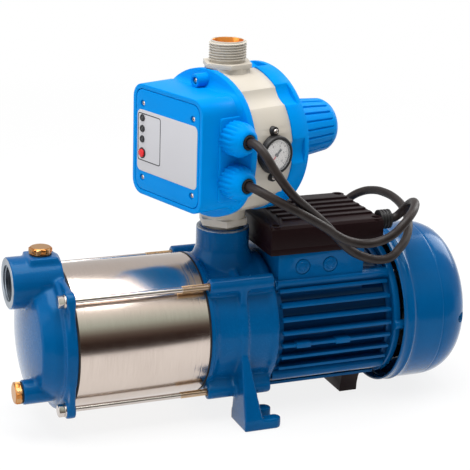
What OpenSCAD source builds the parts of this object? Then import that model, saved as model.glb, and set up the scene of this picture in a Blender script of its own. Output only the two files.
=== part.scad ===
// Horizontal multistage water pump with a pressure controller screwed into its outlet.
// Millimetres, +Z up, +X from the suction side to the fan. The origin is on the floor,
// under the middle of the pump. Stations along X are counted from the outlet's axis.

/* [Shaft and shell] */
// Height of the shaft axis above the floor
axis_h = 80; // [76:1:90]
// Outside diameter of the stainless shell
shell_d = 128; // [124:1:134]
// Wall of the stainless shell
shell_wall = 1.5; // [0.8:0.1:3]
// Length of the stainless shell
shell_len = 118; // [116:1:150]
// Visible width of each rubber gasket at the shell's ends
gasket_w = 2; // [1:0.5:4]
// Number of pumping stages
stages = 5; // [2:1:5]
// Length of one stage
stage_len = 20; // [18:0.5:21]
// Diameter of the pump shaft
shaft_d = 16; // [12:0.5:17]
// Outside diameter of an impeller
impeller_d = 96; // [70:1:106]

/* [Suction cover] */
// Thickness of the suction cover's flange
cover_flange_w = 10; // [8:0.5:14]
// Length of the cover's side behind the flange
cover_side_len = 10.5; // [8:0.5:20]
// Rise of the cover's domed face
cover_dome_rise = 14; // [10:0.5:16]
// Wall of the cast covers
cast_wall = 6; // [4:0.5:8]
// Outside diameter of the suction boss
suction_boss_d = 46; // [42:1:52]
// Height of the suction boss above the shaft axis
suction_rise = 53.5; // [50:0.5:60]
// Bore of the suction and outlet threads
thread_bore_d = 30.3; // [28:0.1:31]
// Length of the suction boss past the flange's joint face
suction_reach = 45.5; // [44:0.5:60]
// Hexagon of the brass plugs across its flats
plug_af = 18; // [14:0.5:20]
// Thread of the brass plugs
plug_thread_d = 13; // [9:0.5:14]

/* [Tie bolts] */
// Distance of each tie bolt from the shaft axis
tie_r = 70.5; // [70:0.5:78]
// Shank of a tie bolt
tie_shank_d = 5; // [4:0.5:6]
// Thread of a tie bolt
tie_thread_d = 6; // [5:0.5:8]
// Length of thread that shows in front of the bracket
tie_thread_shown = 25; // [10:1:40]

/* [Discharge bracket] */
// Distance from the outlet's axis to the bracket's front face
bracket_nose = 32; // [28:0.5:40]
// Distance from the outlet's axis to the bracket's motor face
bracket_tail = 33; // [32:0.5:45]
// Outside diameter of the bracket's end rims
bracket_d = 127; // [122:1:132]
// Outside diameter of the outlet boss
outlet_boss_d = 48.4; // [44:0.5:54]
// Height of the outlet boss's rim above the floor
outlet_rim_h = 170; // [160:1:180]
// Distance between the outer sides of the two feet
feet_span = 162.8; // [156:0.5:180]
// Width of one foot
foot_w = 36; // [32:0.5:40]
// Thickness of a foot
foot_t = 10; // [6:0.5:14]
// Width of the open slot in each foot
slot_w = 11.4; // [8:0.2:14]

/* [Motor] */
// Length of the finned motor housing
motor_len = 113; // [108:1:150]
// Diameter over the tips of the fins
fin_tip_d = 132; // [128:1:140]
// Diameter of the housing under the fins
motor_core_d = 114; // [110:1:118]
// Bore of the housing, which holds the stator
stator_d = 104; // [96:1:106]
// Distance between two fins
fin_pitch = 12; // [9:0.5:16]
// Thickness of a fin
fin_t = 2.6; // [1.5:0.1:4]
// Outside diameter of the ball bearings
bearing_od = 40; // [38:1:44]
// Bore of the ball bearings
bearing_id = 17; // [17:0.5:20]
// Width of the ball bearings
bearing_w = 12; // [10:0.5:13]
// Diameter of the fan cover
fan_cover_d = 149; // [148:1:164]
// Length of the fan cover
fan_cover_len = 72; // [66:1:90]
// Wall of the fan cover
fan_cover_wall = 1.8; // [1:0.1:3]
// Outside diameter of the fan
fan_d = 112; // [90:1:116]

/* [Terminal box] */
// Length of the terminal box
box_len = 110.5; // [100:0.5:120]
// Width of the terminal box
box_w = 92; // [84:1:100]
// Height of the terminal box's lid
lid_h = 22.4; // [18:0.2:24]
// Height of the terminal box's base
base_h = 5.6; // [4:0.2:8]
// Wall of the terminal box
box_wall = 2.5; // [1.5:0.1:4]

/* [Controller] */
// Height of the controller's middle above the outlet boss's rim
ctrl_rise = 79; // [79:0.5:92]
// Angle by which the controller is turned on its thread
ctrl_turn = 17; // [0:1:20]
// Diameter of the controller's grey body
body_d = 130; // [124:1:134]
// Diameter of the blue covers
cover_d = 133; // [128:1:134]
// Width of the controller's square front
front_w = 100; // [94:1:110]
// Height of the controller's square front
front_h = 98; // [92:1:106]
// Outside diameter of the outlet thread
outlet_thread_d = 33.2; // [32:0.1:36]
// Bore of the water way through the controller
water_bore_d = 27.7; // [24:0.1:28]
// Height of the top of the outlet thread above the outlet boss's rim
outlet_top_rise = 169; // [166:1:180]
// Length of the outlet thread
outlet_thread_len = 17; // [12:0.5:20]
// Length of the adjuster knob
knob_len = 65; // [45:1:80]
// Diameter of the adjuster knob at its wide end
knob_d = 60; // [50:1:66]
// Diameter of the adjuster knob at its narrow end
knob_end_d = 48; // [40:1:50]
// Number of grip flutes round the knob
knob_flutes = 22; // [8:1:24]
// Diameter of the pressure gauge's dial
dial_d = 27; // [20:0.5:30]
// Travel of the restart button
button_travel = 1.5; // [0.5:0.1:2]
// Lift of the flow valve
valve_lift = 10; // [4:0.5:12]
// Travel of the diaphragm's piston
piston_travel = 3; // [1:0.5:4]

/* [Cables] */
// Diameter of both cables
cable_d = 8; // [7:0.1:8.4]
// Middle radius of the coil's outer turn
coil_r = 52; // [50:1:70]
// Turns in the coil
coil_turns = 2.5; // [2.5:1:3.5]

/* [Hidden] */
enamel = [0.0, 0.34, 0.6];
casing_blue = [0.05, 0.56, 0.92];
body_grey = [0.8, 0.77, 0.72];
steel = [0.78, 0.76, 0.74];
brass = [0.76, 0.52, 0.26];
black = [0.1, 0.09, 0.09];
copper = [0.72, 0.4, 0.2];
ceramic = [0.9, 0.89, 0.85];
$fn = 96;
// Overrun of every cut
cut = 1;
// Clearance of a running fit, of a push fit and of a moving piece that isn't a fit
run_gap = 0.05;
fit_gap = 0.1;
free_gap = 0.4;

// Radii and stations of the shell and its covers
shell_r = shell_d / 2;
shell_x1 = -bracket_nose - gasket_w;
shell_x0 = shell_x1 - shell_len;
flange_x1 = shell_x0 - gasket_w;
flange_x0 = flange_x1 - cover_flange_w;
shoulder_x = flange_x0 - cover_side_len;
dome_x = shoulder_x - cover_dome_rise;
suction_x = flange_x1 - suction_reach;
spigot_len = 4;
spigot_r = shell_r - shell_wall - fit_gap;
cover_side_step = 5.5;
cover_side_r = shell_r - cover_side_step;
cover_side_draft = 2;
shoulder_round = 6;
dome_share = 0.5;
lug_face_step = 2;
lug_r = 8;
tie_yz = tie_r * cos(45);

// Filler and drain plugs
plug_head_h = 5.5;
plug_edge = 0.8;
plug_seal_t = 1.5;
plug_seal_rim = 0.6;
plug_seal_r = plug_af / 2 + plug_seal_rim;
plug_thread_len = 9;
pad_rise = 1;
pad_w = 26;
pad_slope = 5;
filler_back = 15.7;
filler_x = flange_x1 - filler_back;
suction_z = axis_h + suction_rise;
pad_top = suction_z + suction_boss_d / 2 + pad_rise;
drain_y = -30;
drain_drop = 37;
drain_z = axis_h - drain_drop;
drain_boss_r = 11;
drain_reach = 41.5;
drain_face_x = flange_x1 - drain_reach;
drain_tip_x = drain_face_x - plug_seal_t - plug_head_h;
plug_r = plug_af / 2 / cos(30);

// Tie bolts
tie_head_af = 10;
tie_head_h = 6.6;
tie_hole_r = tie_thread_d / 2 + fit_gap;
tie_deep = 16;

// Bracket
bracket_r = bracket_d / 2;
rim_w = 6;
waist_step = 1.6;
rib_w = 7;
rib_out = 1;
ridge_r = 7;
ridge_lap = 2;
ridge_end = bracket_tail - rim_w + ridge_lap;
side_step = 0.3;
partition_x = -8;
partition_t = 6;
wet_r = shell_r - shell_wall - cast_wall / 2;
dry_r = bracket_r - 2 * cast_wall;
bearing_x = 12;
hub_wall = 5;
web_t = 6;
outlet_r = outlet_boss_d / 2;
outlet_flare = 3;
outlet_flare_h = 8;
leg_top_drop = 14;
leg_top_h = axis_h - leg_top_drop;
leg_x0 = -5;
leg_foot_x1 = 12;
leg_top_depth = 12;
leg_rib_top = axis_h + tie_yz;
foot_y = feet_span / 2 - foot_w / 2;
prong_len = 12.5;
prong_r = (foot_w - slot_w) / 4 + side_step;
prong_x = leg_foot_x1 + prong_len;
slot_start = 1;
slot_x = leg_foot_x1 + slot_start;
leg_side_h = 44;

// Motor stations and places
motor_x0 = bracket_tail;
motor_x1 = motor_x0 + motor_len;
fin_tip_r = fin_tip_d / 2;
core_r = motor_core_d / 2;
stator_r = stator_d / 2;
fin_inset = 3;
end_ring_w = 5;
end_ring_out = 3;
end_ring_r = core_r + end_ring_out;
fin_low = -57;
fins = 9;
pedestal_w = 96;
pedestal_len = 84;
pedestal_x = motor_x0 + fin_inset - side_step;
pedestal_rise = 72.4;
pedestal_top = axis_h + pedestal_rise;
ledge_h = 48;
ledge_t = 4;
ledge_w = 102;
knock_r = 7.5;
knock_groove = 1;
knock_rise = 59.3;
knock_z = axis_h + knock_rise;
knock_places = [23.8, 50.7];
fin_pad_places = [13, 52];
fin_pad_len = 14;
fin_pad_h = 5;
screw_r_place = 61;
screw_boss_r = 6;
motor_screw_d = 5;
motor_screw_head = 8.5;
motor_screw_head_h = 4;
shield_t = 6;
shield_hub_len = 14;
rear_bearing_x = motor_x1 - bearing_w / 2;
shield_r = fin_tip_r;
cover_x0 = motor_x1 + shield_t;
cover_x1 = cover_x0 + fan_cover_len;
fan_cover_r = fan_cover_d / 2;
grille_r = 50;
grille_rings = 6;
grille_slot = 3.4;
grille_hub_r = 9;
grille_bars = 6;
grille_bar_w = 4;
straight_len = 42;
bead_x = 10;
bead_r = 1.4;
post_r = 4.5;
post_place = 65;
cover_screw_d = 4;
cover_screw_head = 8;
cover_screw_head_h = 3;
dimple_r = 5;
// The posts that carry the fan cover end under its shoulder
post_x1 = cover_x0 + straight_len - cover_screw_head_h;
shoulder_steps = 8;
fan_hub_r = 14;
fan_step = 1;
fan_seat_r = shaft_d / 2 - fan_step;
fan_room = 8;
fan_x = cover_x0 + fan_room;
fan_w = 24;
fan_blades = 9;
fan_blade_t = 2.2;
fan_disc_t = 2.5;
mid_x = (cover_x1 + drain_tip_x) / 2;

// Shaft, stages and bearings
shaft_r = shaft_d / 2;
journal_r = bearing_id / 2;
rotor_seat_r = 12;
rotor_r = 30;
rotor_gap = 0.5;
stack_inset = 20;
stack_len = 72;
stack_x = motor_x0 + stack_inset;
ring_r = 22;
end_turn_len = 14;
stator_slots = 18;
stator_slot_r = 2.6;
nut_af = 17;
nut_len = 7;
nut_thread_r = 5;
stage_room = 8;
stage_x = shell_x1 - stages * stage_len - stage_room;
stage_r = spigot_r;
stage_wall = 1.5;
plate_t = 2;
eye_r = 17;
impeller_r = impeller_d / 2;
impeller_eye_r = 15.5;
impeller_w = 13;
shroud_t = 1.5;
hub_r = 11;
vanes = 6;
vane_t = 1.6;
vane_slant = 35;
vane_share = 0.9;
seal_r = 13;
seal_len = 12;
seal_stand = 2;
seal_ring_len = partition_t + seal_stand;
shaft_room = 2;
nut_stand = 1;
nut_x = stage_x - plate_t - nut_stand;
slinger_r = 20;
slinger_t = 3;
slinger_room = 9;
slinger_x = bearing_x - slinger_room;
ball_pitch_r = (bearing_od + bearing_id) / 4;
race_share = 0.26;
race_wall = (bearing_od - bearing_id) / 2 * race_share;
ball_r = (bearing_od - bearing_id) / 4 - race_wall - run_gap;
balls = 8;
cage_t = 1.2;

// Motor foot
motor_foot_place = 82.6;
motor_foot_x = motor_x0 + motor_foot_place;
motor_foot_w = 17.8;
motor_foot_half = 22;
motor_foot_flare = 42;
motor_foot_rise = 30;
foot_arc_steps = 6;

// Terminal box
box_lap = 6;
box_x = motor_x0 - box_lap;
box_y = -50;
box_z = pedestal_top;
lid_z = box_z + base_h;
lid_round = 4;
lid_rib_w = 5;
lid_rib_h = 1.6;
lid_ribs = 5;
lid_rib_pitch = 13;
lid_rib_share = 0.8;
gland_y = -38;
gland_rise = 94;
gland_z = axis_h + gland_rise;
gland_len = 12.5;
gland_r = 9;
gland_rib = 1;
box_screw_d = 3.5;
box_screw_inset = 6;
capacitor_r = 8.5;
capacitor_len = 62;
block_size = [26, 40, 11];

// Controller, in its own turned frame: X to the knob, Y away from the gauge
front_x = -64.8;
front_round = 13;
front_depth = 29;
flare_x = -29;
flange_x = -17.5;
body_x1 = 23;
rear_x1 = 41;
case_wall = 3;
plate_inset = 4;
plate_groove = 1;
face_t = 2.6;
face_screw_d = 5;
face_screw_inset = 13.8;
face_screw_y = front_w / 2 - face_screw_inset;
face_screw_z = 33.5;
label_w = 86;
label_h = 54.4;
label_t = 0.6;
label_round = 5;
label_drop = 0.5;
light_r = 2;
light_y = 35.6;
light_z = [20.7, 11, 1.6];
button_y = 35.6;
button_z = -11;
button_r = 3.6;
button_out = 1.4;
button_shank_r = 2.4;
board_size = [1.6, 70, 66];
board_x = -48;
scallops = 8;
scallop_r = 20;
scallop_deep = 3;
hex_af = 40;
hex_h = 6;
neck_r = 20;
ctrl_h = outlet_rim_h + ctrl_rise;
outlet_top_h = outlet_rim_h + outlet_top_rise;
upper_hex_z = outlet_top_h - outlet_thread_len - hex_h - ctrl_h;
lower_hex_stand = 3;
lower_hex_z = outlet_rim_h + lower_hex_stand - ctrl_h;
spigot_deep = 16;
valve_gap = 0.5;
valve_wings = 14;
valve_len = valve_lift + valve_wings;
valve_rise = 22;
valve_z = lower_hex_z + valve_rise;
seat_lip = 2.5;
seat_t = 3;
valve_stem_r = 4;
chamber_r = 44;
chamber_deep = 6;
chamber_x = body_x1 - chamber_deep;
rear_boss_x = 52;
rear_boss_r = 44;
rear_boss_end_r = 31;
spring_r = 17;
spring_wall = 2.5;
piston_room = 6;
piston_r = chamber_r - piston_room;
piston_t = 3;
piston_x = chamber_x + free_gap;
knob_x = rear_boss_x + free_gap;
knob_wall = 3;
knob_post_r = 12;
knob_post_len = 40;
flute_r = 2.2;
lug_screw_d = 5;
pocket_r = 9;
pocket_deep = 4.2;
gauge_x = 3;
gauge_face = 70;
gauge_case_r = 17;
gauge_seat = 60;
gauge_ear = 20.2;
gauge_ear_r = 4.2;
gauge_ear_t = 2.6;
gauge_ear_y = 62.2;
gauge_screw_d = 4.6;
dial_t = 0.8;
dial_deep = 3.6;
needle_t = 0.7;
needle_len = 10;
needle_tail = 4;
needle_w = 1;
needle_hub_r = 1.8;
needle_angle = 225;
lens_t = 1;
gland_nut_x = -33;
gland_nut_z = [17, -21];
nut_tip = 74;
nut_base = 51;
nut_r = 14.5;
nut_tip_r = 9.5;
nut_straight = 9;
front_lug_z = 57;
front_lug_x = -30;
front_lug_r = 6;
rear_lug_count = 4;
rear_lug_angle = 22.5;

// Cables, as routes of round numbers in the pump's stations
cable_r = cable_d / 2;
// The glands grip the cables by this much
cord_bite = 1;
cable_sides = 8;
coil_sides = 6;
motor_route = [[-9.9, -80.4, 228], [-7.5, -88, 228], [-3, -97, 226], [6, -103, 221], [20, -105, 213],
    [37, -103, 203], [56, -99, 191], [70, -95, 181], [84, -92, 174], [98, -92, 171], [111, -95, 173],
    [122, -98, 179], [131, -98, 187], [141, -92, 193], [150, -82, 196], [157, -70, 197],
    [161, -57, 194], [162, -47, 188], [160, -40, 180], [155, -38, 175], [149.5, -38, 174]];
mains_route = [[-9.9, -80.4, 266], [-7.5, -88, 266], [-4, -97, 261], [4, -103, 247], [20, -103, 226],
    [40, -97, 208], [60, -88, 191], [76, -82, 175], [90, -78, 162], [106, -76, 153], [122, -75, 148.5],
    [134, -73, 149], [145, -67, 153.5], [158, -56, 160], [169, -38, 169], [175, -18, 175],
    [177, 4, 179], [175, 24, 180], [171, 41, 178], [165, 54, 173], [158, 65, 164], [150, 75, 150],
    [141, 84, 131], [131, 91, 108], [122, 97, 82], [113, 102, 57], [105, 108, 36], [99, 118, 18],
    [96, 131, 7], [96, 147, 4], [96, 157, 4]];
coil_x = 148;
coil_y = 165;
layer_air = 0.6;
turn_air = 0.9;
layer_step = cable_d + layer_air;
turn_step = cable_d + turn_air;
coil_fall = turn_step * coil_turns / 2;
coil_steps = 24;
tail_out = 9;
plug_tail_y = 126;
plug_z = 18.5;
plug_len = 34;
plug_face_r = 18.5;
plug_back_r = 15;
plug_relief_r = 7;
plug_relief_len = 18;
plug_pin_r = 2.4;
plug_pin_len = 19;
plug_pin_y = 9.5;
tie_band = 1.2;
tie_w = 6;
tie_clear = 0.4;

function unit(v) = v / norm(v);
function steer(path, i, n) = let (t = tangent(path, i)) unit(n - (n * t) * t);
function tangent(path, i) = unit(path[min(i + 1, len(path) - 1)] - path[max(i - 1, 0)]);
function sides_of(path, i, n) = i == len(path) ? []
    : let (m = steer(path, i, n)) concat([m], sides_of(path, i + 1, m));
function tube_ring(p, t, n, r, count) = let (b = cross(t, n))
    [for (k = [0 : count - 1]) p + r * (cos(360 * k / count) * n + sin(360 * k / count) * b)];

// A tube along a path, with one ring of points at each of the path's points
module tube(path, r, count) {
    normals = sides_of(path, 0, [0, 0, 1]);
    last = len(path) - 1;
    rings = [for (i = [0 : last]) each tube_ring(path[i], tangent(path, i), normals[i], r, count)];
    walls = [for (i = [0 : last - 1], k = [0 : count - 1]) let (a = i * count + k,
        b = i * count + (k + 1) % count) each [[a, b, a + count], [b, b + count, a + count]]];
    caps = [for (k = [1 : count - 2]) each [[0, k + 1, k],
        [last * count, last * count + k, last * count + k + 1]]];
    polyhedron(rings, concat(walls, caps));
}

// Moves the pump from the outlet's axis to the model's origin
module place() { translate([-mid_x, 0, 0]) children(); }

// The controller's own frame, turned about the outlet's axis
module controller() { place() translate([0, 0, ctrl_h]) rotate([0, 0, ctrl_turn]) children(); }

// A round bar along X, between two stations, on the shaft axis or at y and z from it
module bar_x(x0, x1, r, y = 0, z = 0) {
    translate([x0, y, axis_h + z]) rotate([0, 90, 0]) cylinder(h = x1 - x0, r = r);
}

module ring_x(x0, x1, r_out, r_in) {
    difference() { bar_x(x0, x1, r_out); bar_x(x0 - cut, x1 + cut, r_in); }
}

// A profile of [radius, station] points turned about the shaft axis
module turned(points) {
    translate([0, 0, axis_h]) rotate([0, 90, 0]) rotate_extrude() polygon(points);
}

// A hexagonal bar along X
module hex_x(x0, x1, af, y = 0, z = 0) {
    translate([x0, y, axis_h + z]) rotate([0, 90, 0])
        cylinder(h = x1 - x0, r = af / 2 / cos(30), $fn = 6);
}

module at_ties() {
    for (sy = [-1, 1], sz = [-1, 1]) translate([0, sy * tie_yz, sz * tie_yz]) children();
}

module at_screws() { for (a = [0 : 90 : 270]) rotate_about_axis(a + 45) children(); }
module rotate_about_axis(a) {
    translate([0, 0, axis_h]) rotate([a, 0, 0]) translate([0, 0, -axis_h]) children();
}

// A bar along the controller's X, at y and z from its middle
module bar_c(x0, x1, r, y = 0, z = 0) {
    translate([x0, y, z]) rotate([0, 90, 0]) cylinder(h = x1 - x0, r = r);
}

// A bar along the controller's -Y, from the depth d0 to the depth d1
module bar_near(d0, d1, r, x, z, r_end = 0) {
    translate([x, -d0, z]) rotate([90, 0, 0]) cylinder(h = d1 - d0, r1 = r, r2 = r_end > 0 ? r_end : r);
}

// A slab across the controller's X with rounded corners, made without a hull
module slab_c(x0, x1, w, h, r) {
    translate([x0, -w / 2 + r, -h / 2]) cube([x1 - x0, w - 2 * r, h]);
    translate([x0, -w / 2, -h / 2 + r]) cube([x1 - x0, w, h - 2 * r]);
    for (y = [-1, 1], z = [-1, 1]) bar_c(x0, x1, r, y * (w / 2 - r), z * (h / 2 - r));
}

module suction_cover() {
    cavity_r = cover_side_r - cast_wall;
    dome = [for (i = [0 : 6]) let (s = i / 6) [s * (cover_side_r - shoulder_round - cover_side_draft),
        dome_x + cover_dome_rise * dome_share * s * s]];
    place() color(enamel) difference() {
        union() {
            difference() {
                union() {
                    turned(concat(dome,
                        [[cover_side_r - cover_side_draft, shoulder_x + shoulder_round / 2],
                        [cover_side_r, flange_x0], [shell_r, flange_x0], [shell_r, flange_x1],
                        [spigot_r, flange_x1], [spigot_r, flange_x1 + spigot_len],
                        [0, flange_x1 + spigot_len]]));
                    bar_x(drain_face_x, shoulder_x + cast_wall, drain_boss_r, drain_y, -drain_drop);
                    bar_x(suction_x + cover_dome_rise, flange_x1, suction_boss_d / 2, 0, suction_rise);
                }
                turned([[0, shoulder_x], [cavity_r - shoulder_round, shoulder_x],
                    [cavity_r, shoulder_x + shoulder_round], [cavity_r, flange_x1 + spigot_len + cut],
                    [0, flange_x1 + spigot_len + cut]]);
            }
            bar_x(suction_x, shoulder_x + cast_wall, suction_boss_d / 2, 0, suction_rise);
            hull() {
                translate([filler_x - pad_w / 2, -pad_w / 2, suction_z])
                    cube([pad_w, pad_w, pad_top - suction_z]);
                translate([filler_x - pad_w / 2, -pad_w / 2 - pad_slope, suction_z])
                    cube([flange_x1 - filler_x + pad_w / 2, pad_w + 2 * pad_slope, pad_slope]);
            }
            at_ties() bar_x(flange_x0 + lug_face_step, flange_x1, lug_r);
            at_screws()
                translate([flange_x0 + lug_face_step, side_step - lug_r,
                    axis_h + shell_r - 2 * cast_wall])
                    cube([cover_flange_w - lug_face_step, 2 * (lug_r - side_step),
                        tie_r - shell_r + 2 * cast_wall]);
        }
        bar_x(suction_x - cut, filler_x + pad_w / 4, thread_bore_d / 2, 0, suction_rise);
        translate([filler_x, 0, suction_z]) cylinder(h = pad_top, r = plug_thread_d / 2 + fit_gap);
        bar_x(drain_face_x - cut, shoulder_x + 2 * cast_wall, plug_thread_d / 2 + fit_gap, drain_y,
            -drain_drop);
        at_ties() bar_x(flange_x0, flange_x1 + cut, tie_hole_r);
    }
}

// A brass hexagon plug along Z, its thread pointing down
module plug() {
    translate([0, 0, plug_seal_t]) intersection() {
        cylinder(h = plug_head_h, r = plug_r, $fn = 6);
        rotate_extrude() polygon([[0, 0], [plug_r, 0], [plug_r, plug_head_h - 2 * plug_edge],
            [plug_af / 2 - plug_edge, plug_head_h], [0, plug_head_h]]);
    }
    translate([0, 0, -plug_thread_len])
        cylinder(h = plug_thread_len + plug_seal_t + cut, r = plug_thread_d / 2);
}

module plug_seal() {
    difference() {
        cylinder(h = plug_seal_t, r = plug_seal_r);
        translate([0, 0, -cut]) cylinder(h = plug_seal_t + 2 * cut, r = plug_thread_d / 2 + fit_gap);
    }
}

module at_plugs() {
    translate([filler_x, 0, pad_top]) children();
    translate([drain_face_x, drain_y, drain_z]) rotate([0, -90, 0]) children();
}

module brass_plugs() { place() color(brass) at_plugs() plug(); }
module plug_seals() { place() color(black) at_plugs() plug_seal(); }

module shell_gaskets() {
    place() color(black) for (x = [flange_x1, shell_x1])
        ring_x(x, x + gasket_w, shell_r + fit_gap, spigot_r + fit_gap);
}

module pump_shell() {
    place() color(steel) ring_x(shell_x0, shell_x1, shell_r, shell_r - shell_wall);
}

module tie_bolts() {
    head_x = flange_x0 + lug_face_step;
    thread_x = -bracket_nose - tie_thread_shown;
    place() color(steel) at_ties() {
        hex_x(head_x - tie_head_h, head_x, tie_head_af);
        bar_x(head_x - cut, thread_x + cut, tie_shank_d / 2);
        bar_x(thread_x, -bracket_nose + tie_deep, tie_thread_d / 2);
    }
}

// One foot with its leg, on the near side
module leg() {
    hull() {
        translate([leg_x0 + fit_gap, fit_gap - feet_span / 2, fit_gap])
            cube([leg_foot_x1 - leg_x0, foot_w - 2 * fit_gap, foot_t]);
        translate([fit_gap - rib_w / 2, -bracket_r, leg_side_h])
            cube([rib_w - 2 * fit_gap, leg_top_depth, leg_top_h - leg_side_h]);
    }
    translate([leg_x0, -feet_span / 2, 0]) cube([prong_x - leg_x0, foot_w, foot_t]);
    for (s = [-1, 1]) translate([prong_x, -foot_y + s * (foot_w / 2 - prong_r), 0])
        cylinder(h = foot_t, r = prong_r);
    translate([-rib_w / 2, side_step - tie_yz - ridge_r, leg_top_h - leg_side_h / 2])
        cube([rib_w, (ridge_r - side_step) * 2, leg_rib_top - leg_top_h + leg_side_h / 2]);
}

module both_sides() { children(); mirror([0, 1, 0]) children(); }

module discharge_bracket() {
    hub_r_out = bearing_od / 2 + hub_wall;
    place() color(enamel) difference() {
        union() {
            turned([[0, -bracket_nose], [bracket_r, -bracket_nose], [bracket_r, -bracket_nose + rim_w],
                [bracket_r - waist_step, -bracket_nose + rim_w + waist_step],
                [bracket_r - waist_step, bracket_tail - rim_w - waist_step],
                [bracket_r, bracket_tail - rim_w], [bracket_r, bracket_tail], [0, bracket_tail]]);
            bar_x(side_step - rib_w / 2, rib_w / 2 - side_step, bracket_r + rib_out);
            at_ties() bar_x(side_step - bracket_nose, ridge_end, ridge_r);
            at_screws()
                translate([2 * side_step - bracket_nose, side_step - ridge_r,
                    axis_h + bracket_r - 2 * cast_wall])
                    cube([bracket_nose + ridge_end, 2 * (ridge_r - side_step),
                        tie_r - bracket_r + 2 * cast_wall]);
            translate([0, 0, axis_h]) cylinder(h = outlet_rim_h - axis_h, r = outlet_r);
            translate([0, 0, axis_h + bracket_r - outlet_flare_h])
                cylinder(h = 2 * outlet_flare_h, r1 = outlet_r + 2 * outlet_flare,
                    r2 = outlet_r - side_step);
            both_sides() leg();
            at_screws()
                bar_x(bracket_tail - rim_w - side_step, bracket_tail - side_step, screw_boss_r, 0,
                    screw_r_place);
        }
        bar_x(-bracket_nose - cut, partition_x, wet_r);
        bar_x(-bracket_nose - cut, -bracket_nose + spigot_len, spigot_r);
        difference() {
            bar_x(partition_x + partition_t, bracket_tail + cut, dry_r);
            bar_x(bearing_x - hub_wall, bearing_x + bearing_w + web_t / 2, hub_r_out);
            bar_x(bearing_x + bearing_w - web_t, bearing_x + bearing_w, dry_r + cut);
        }
        bar_x(partition_x - cut, partition_x + partition_t + cut, seal_r + fit_gap);
        bar_x(partition_x, bearing_x, shaft_r + shaft_room);
        bar_x(bearing_x, bearing_x + bearing_w + web_t, bearing_od / 2);
        translate([0, 0, axis_h + wet_r - cast_wall]) cylinder(h = outlet_rim_h, r = thread_bore_d / 2);
        at_ties() bar_x(-bracket_nose - cut, -bracket_nose + tie_deep + cut, tie_hole_r);
        both_sides() {
            translate([slot_x, -foot_y, -cut]) cylinder(h = foot_t + 2 * cut, r = slot_w / 2);
            translate([slot_x, -foot_y - slot_w / 2, -cut])
                cube([prong_len + prong_r + cut, slot_w, foot_t + 2 * cut]);
        }
        at_screws() bar_x(bracket_tail - rim_w - cut, bracket_tail + cut, motor_screw_d / 2 + fit_gap, 0,
            screw_r_place);
    }
}

module stage_casings() {
    place() color(steel) for (k = [0 : stages]) {
        x = stage_x + k * stage_len;
        ring_x(x - plate_t, x, stage_r, eye_r);
        if (k < stages)
            ring_x(x - fit_gap, x + stage_len - plate_t - fit_gap, stage_r, stage_r - stage_wall);
    }
}

module impellers() {
    front_gap = 2;
    place() color(brass) for (k = [0 : stages - 1]) {
        x = stage_x + k * stage_len + front_gap;
        ring_x(x, x + shroud_t, impeller_r, impeller_eye_r);
        ring_x(x + impeller_w - shroud_t, x + impeller_w, impeller_r, shaft_r);
        ring_x(x + shroud_t / 2, x + impeller_w - shroud_t / 2, hub_r, shaft_r);
        for (v = [0 : vanes - 1]) rotate_about_axis(v * 360 / vanes)
            translate([x + shroud_t / 2, 0, axis_h + impeller_eye_r + vane_t])
                rotate([vane_slant, 0, 0])
                cube([impeller_w - shroud_t, vane_t, (impeller_r - impeller_eye_r) * vane_share]);
    }
}

module rotor_shaft() {
    place() color(steel) {
        bar_x(nut_x - nut_len - nut_stand, nut_x + cut, nut_thread_r);
        bar_x(nut_x, bearing_x, shaft_r);
        bar_x(bearing_x, stack_x, journal_r);
        bar_x(stack_x - end_turn_len / 2, stack_x + stack_len + end_turn_len / 2, rotor_seat_r);
        bar_x(stack_x + stack_len, rear_bearing_x + bearing_w, journal_r);
        bar_x(rear_bearing_x + bearing_w - cut, fan_x + fan_w, fan_seat_r);
    }
}

module impeller_nut() {
    place() color(steel) difference() {
        hex_x(nut_x - nut_len, nut_x, nut_af);
        bar_x(nut_x - nut_len - cut, nut_x + cut, nut_thread_r);
    }
}

module seal_rotating_ring() {
    face_x = partition_x - seal_stand;
    place() color(black) ring_x(face_x - seal_len, face_x - run_gap, seal_r, shaft_r);
}

module seal_fixed_ring() {
    face_x = partition_x - seal_stand;
    place() color(ceramic) ring_x(face_x, face_x + seal_ring_len, seal_r, shaft_r + run_gap);
}

module water_slinger() {
    place() color(black) {
        ring_x(slinger_x, slinger_x + slinger_t, slinger_r, shaft_r);
        ring_x(slinger_x - slinger_t / 2, slinger_x + slinger_t, slinger_r / 2 + shaft_room, shaft_r);
    }
}

module at_bearings() { for (x = [bearing_x, rear_bearing_x]) translate([x, 0, 0]) children(); }

module bearing_outer_rings() {
    place() color(steel) at_bearings() ring_x(0, bearing_w, bearing_od / 2, bearing_od / 2 - race_wall);
}

module bearing_inner_rings() {
    place() color(steel) at_bearings() ring_x(0, bearing_w, journal_r + race_wall, journal_r);
}

module bearing_balls() {
    place() color(steel) at_bearings() {
        ring_x((bearing_w - ball_r) / 2, (bearing_w + ball_r) / 2, ball_pitch_r + cage_t / 2,
            ball_pitch_r - cage_t / 2);
        for (k = [0 : balls - 1]) rotate_about_axis(k * 360 / balls)
            translate([bearing_w / 2, 0, axis_h + ball_pitch_r]) sphere(r = ball_r);
    }
}

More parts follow.
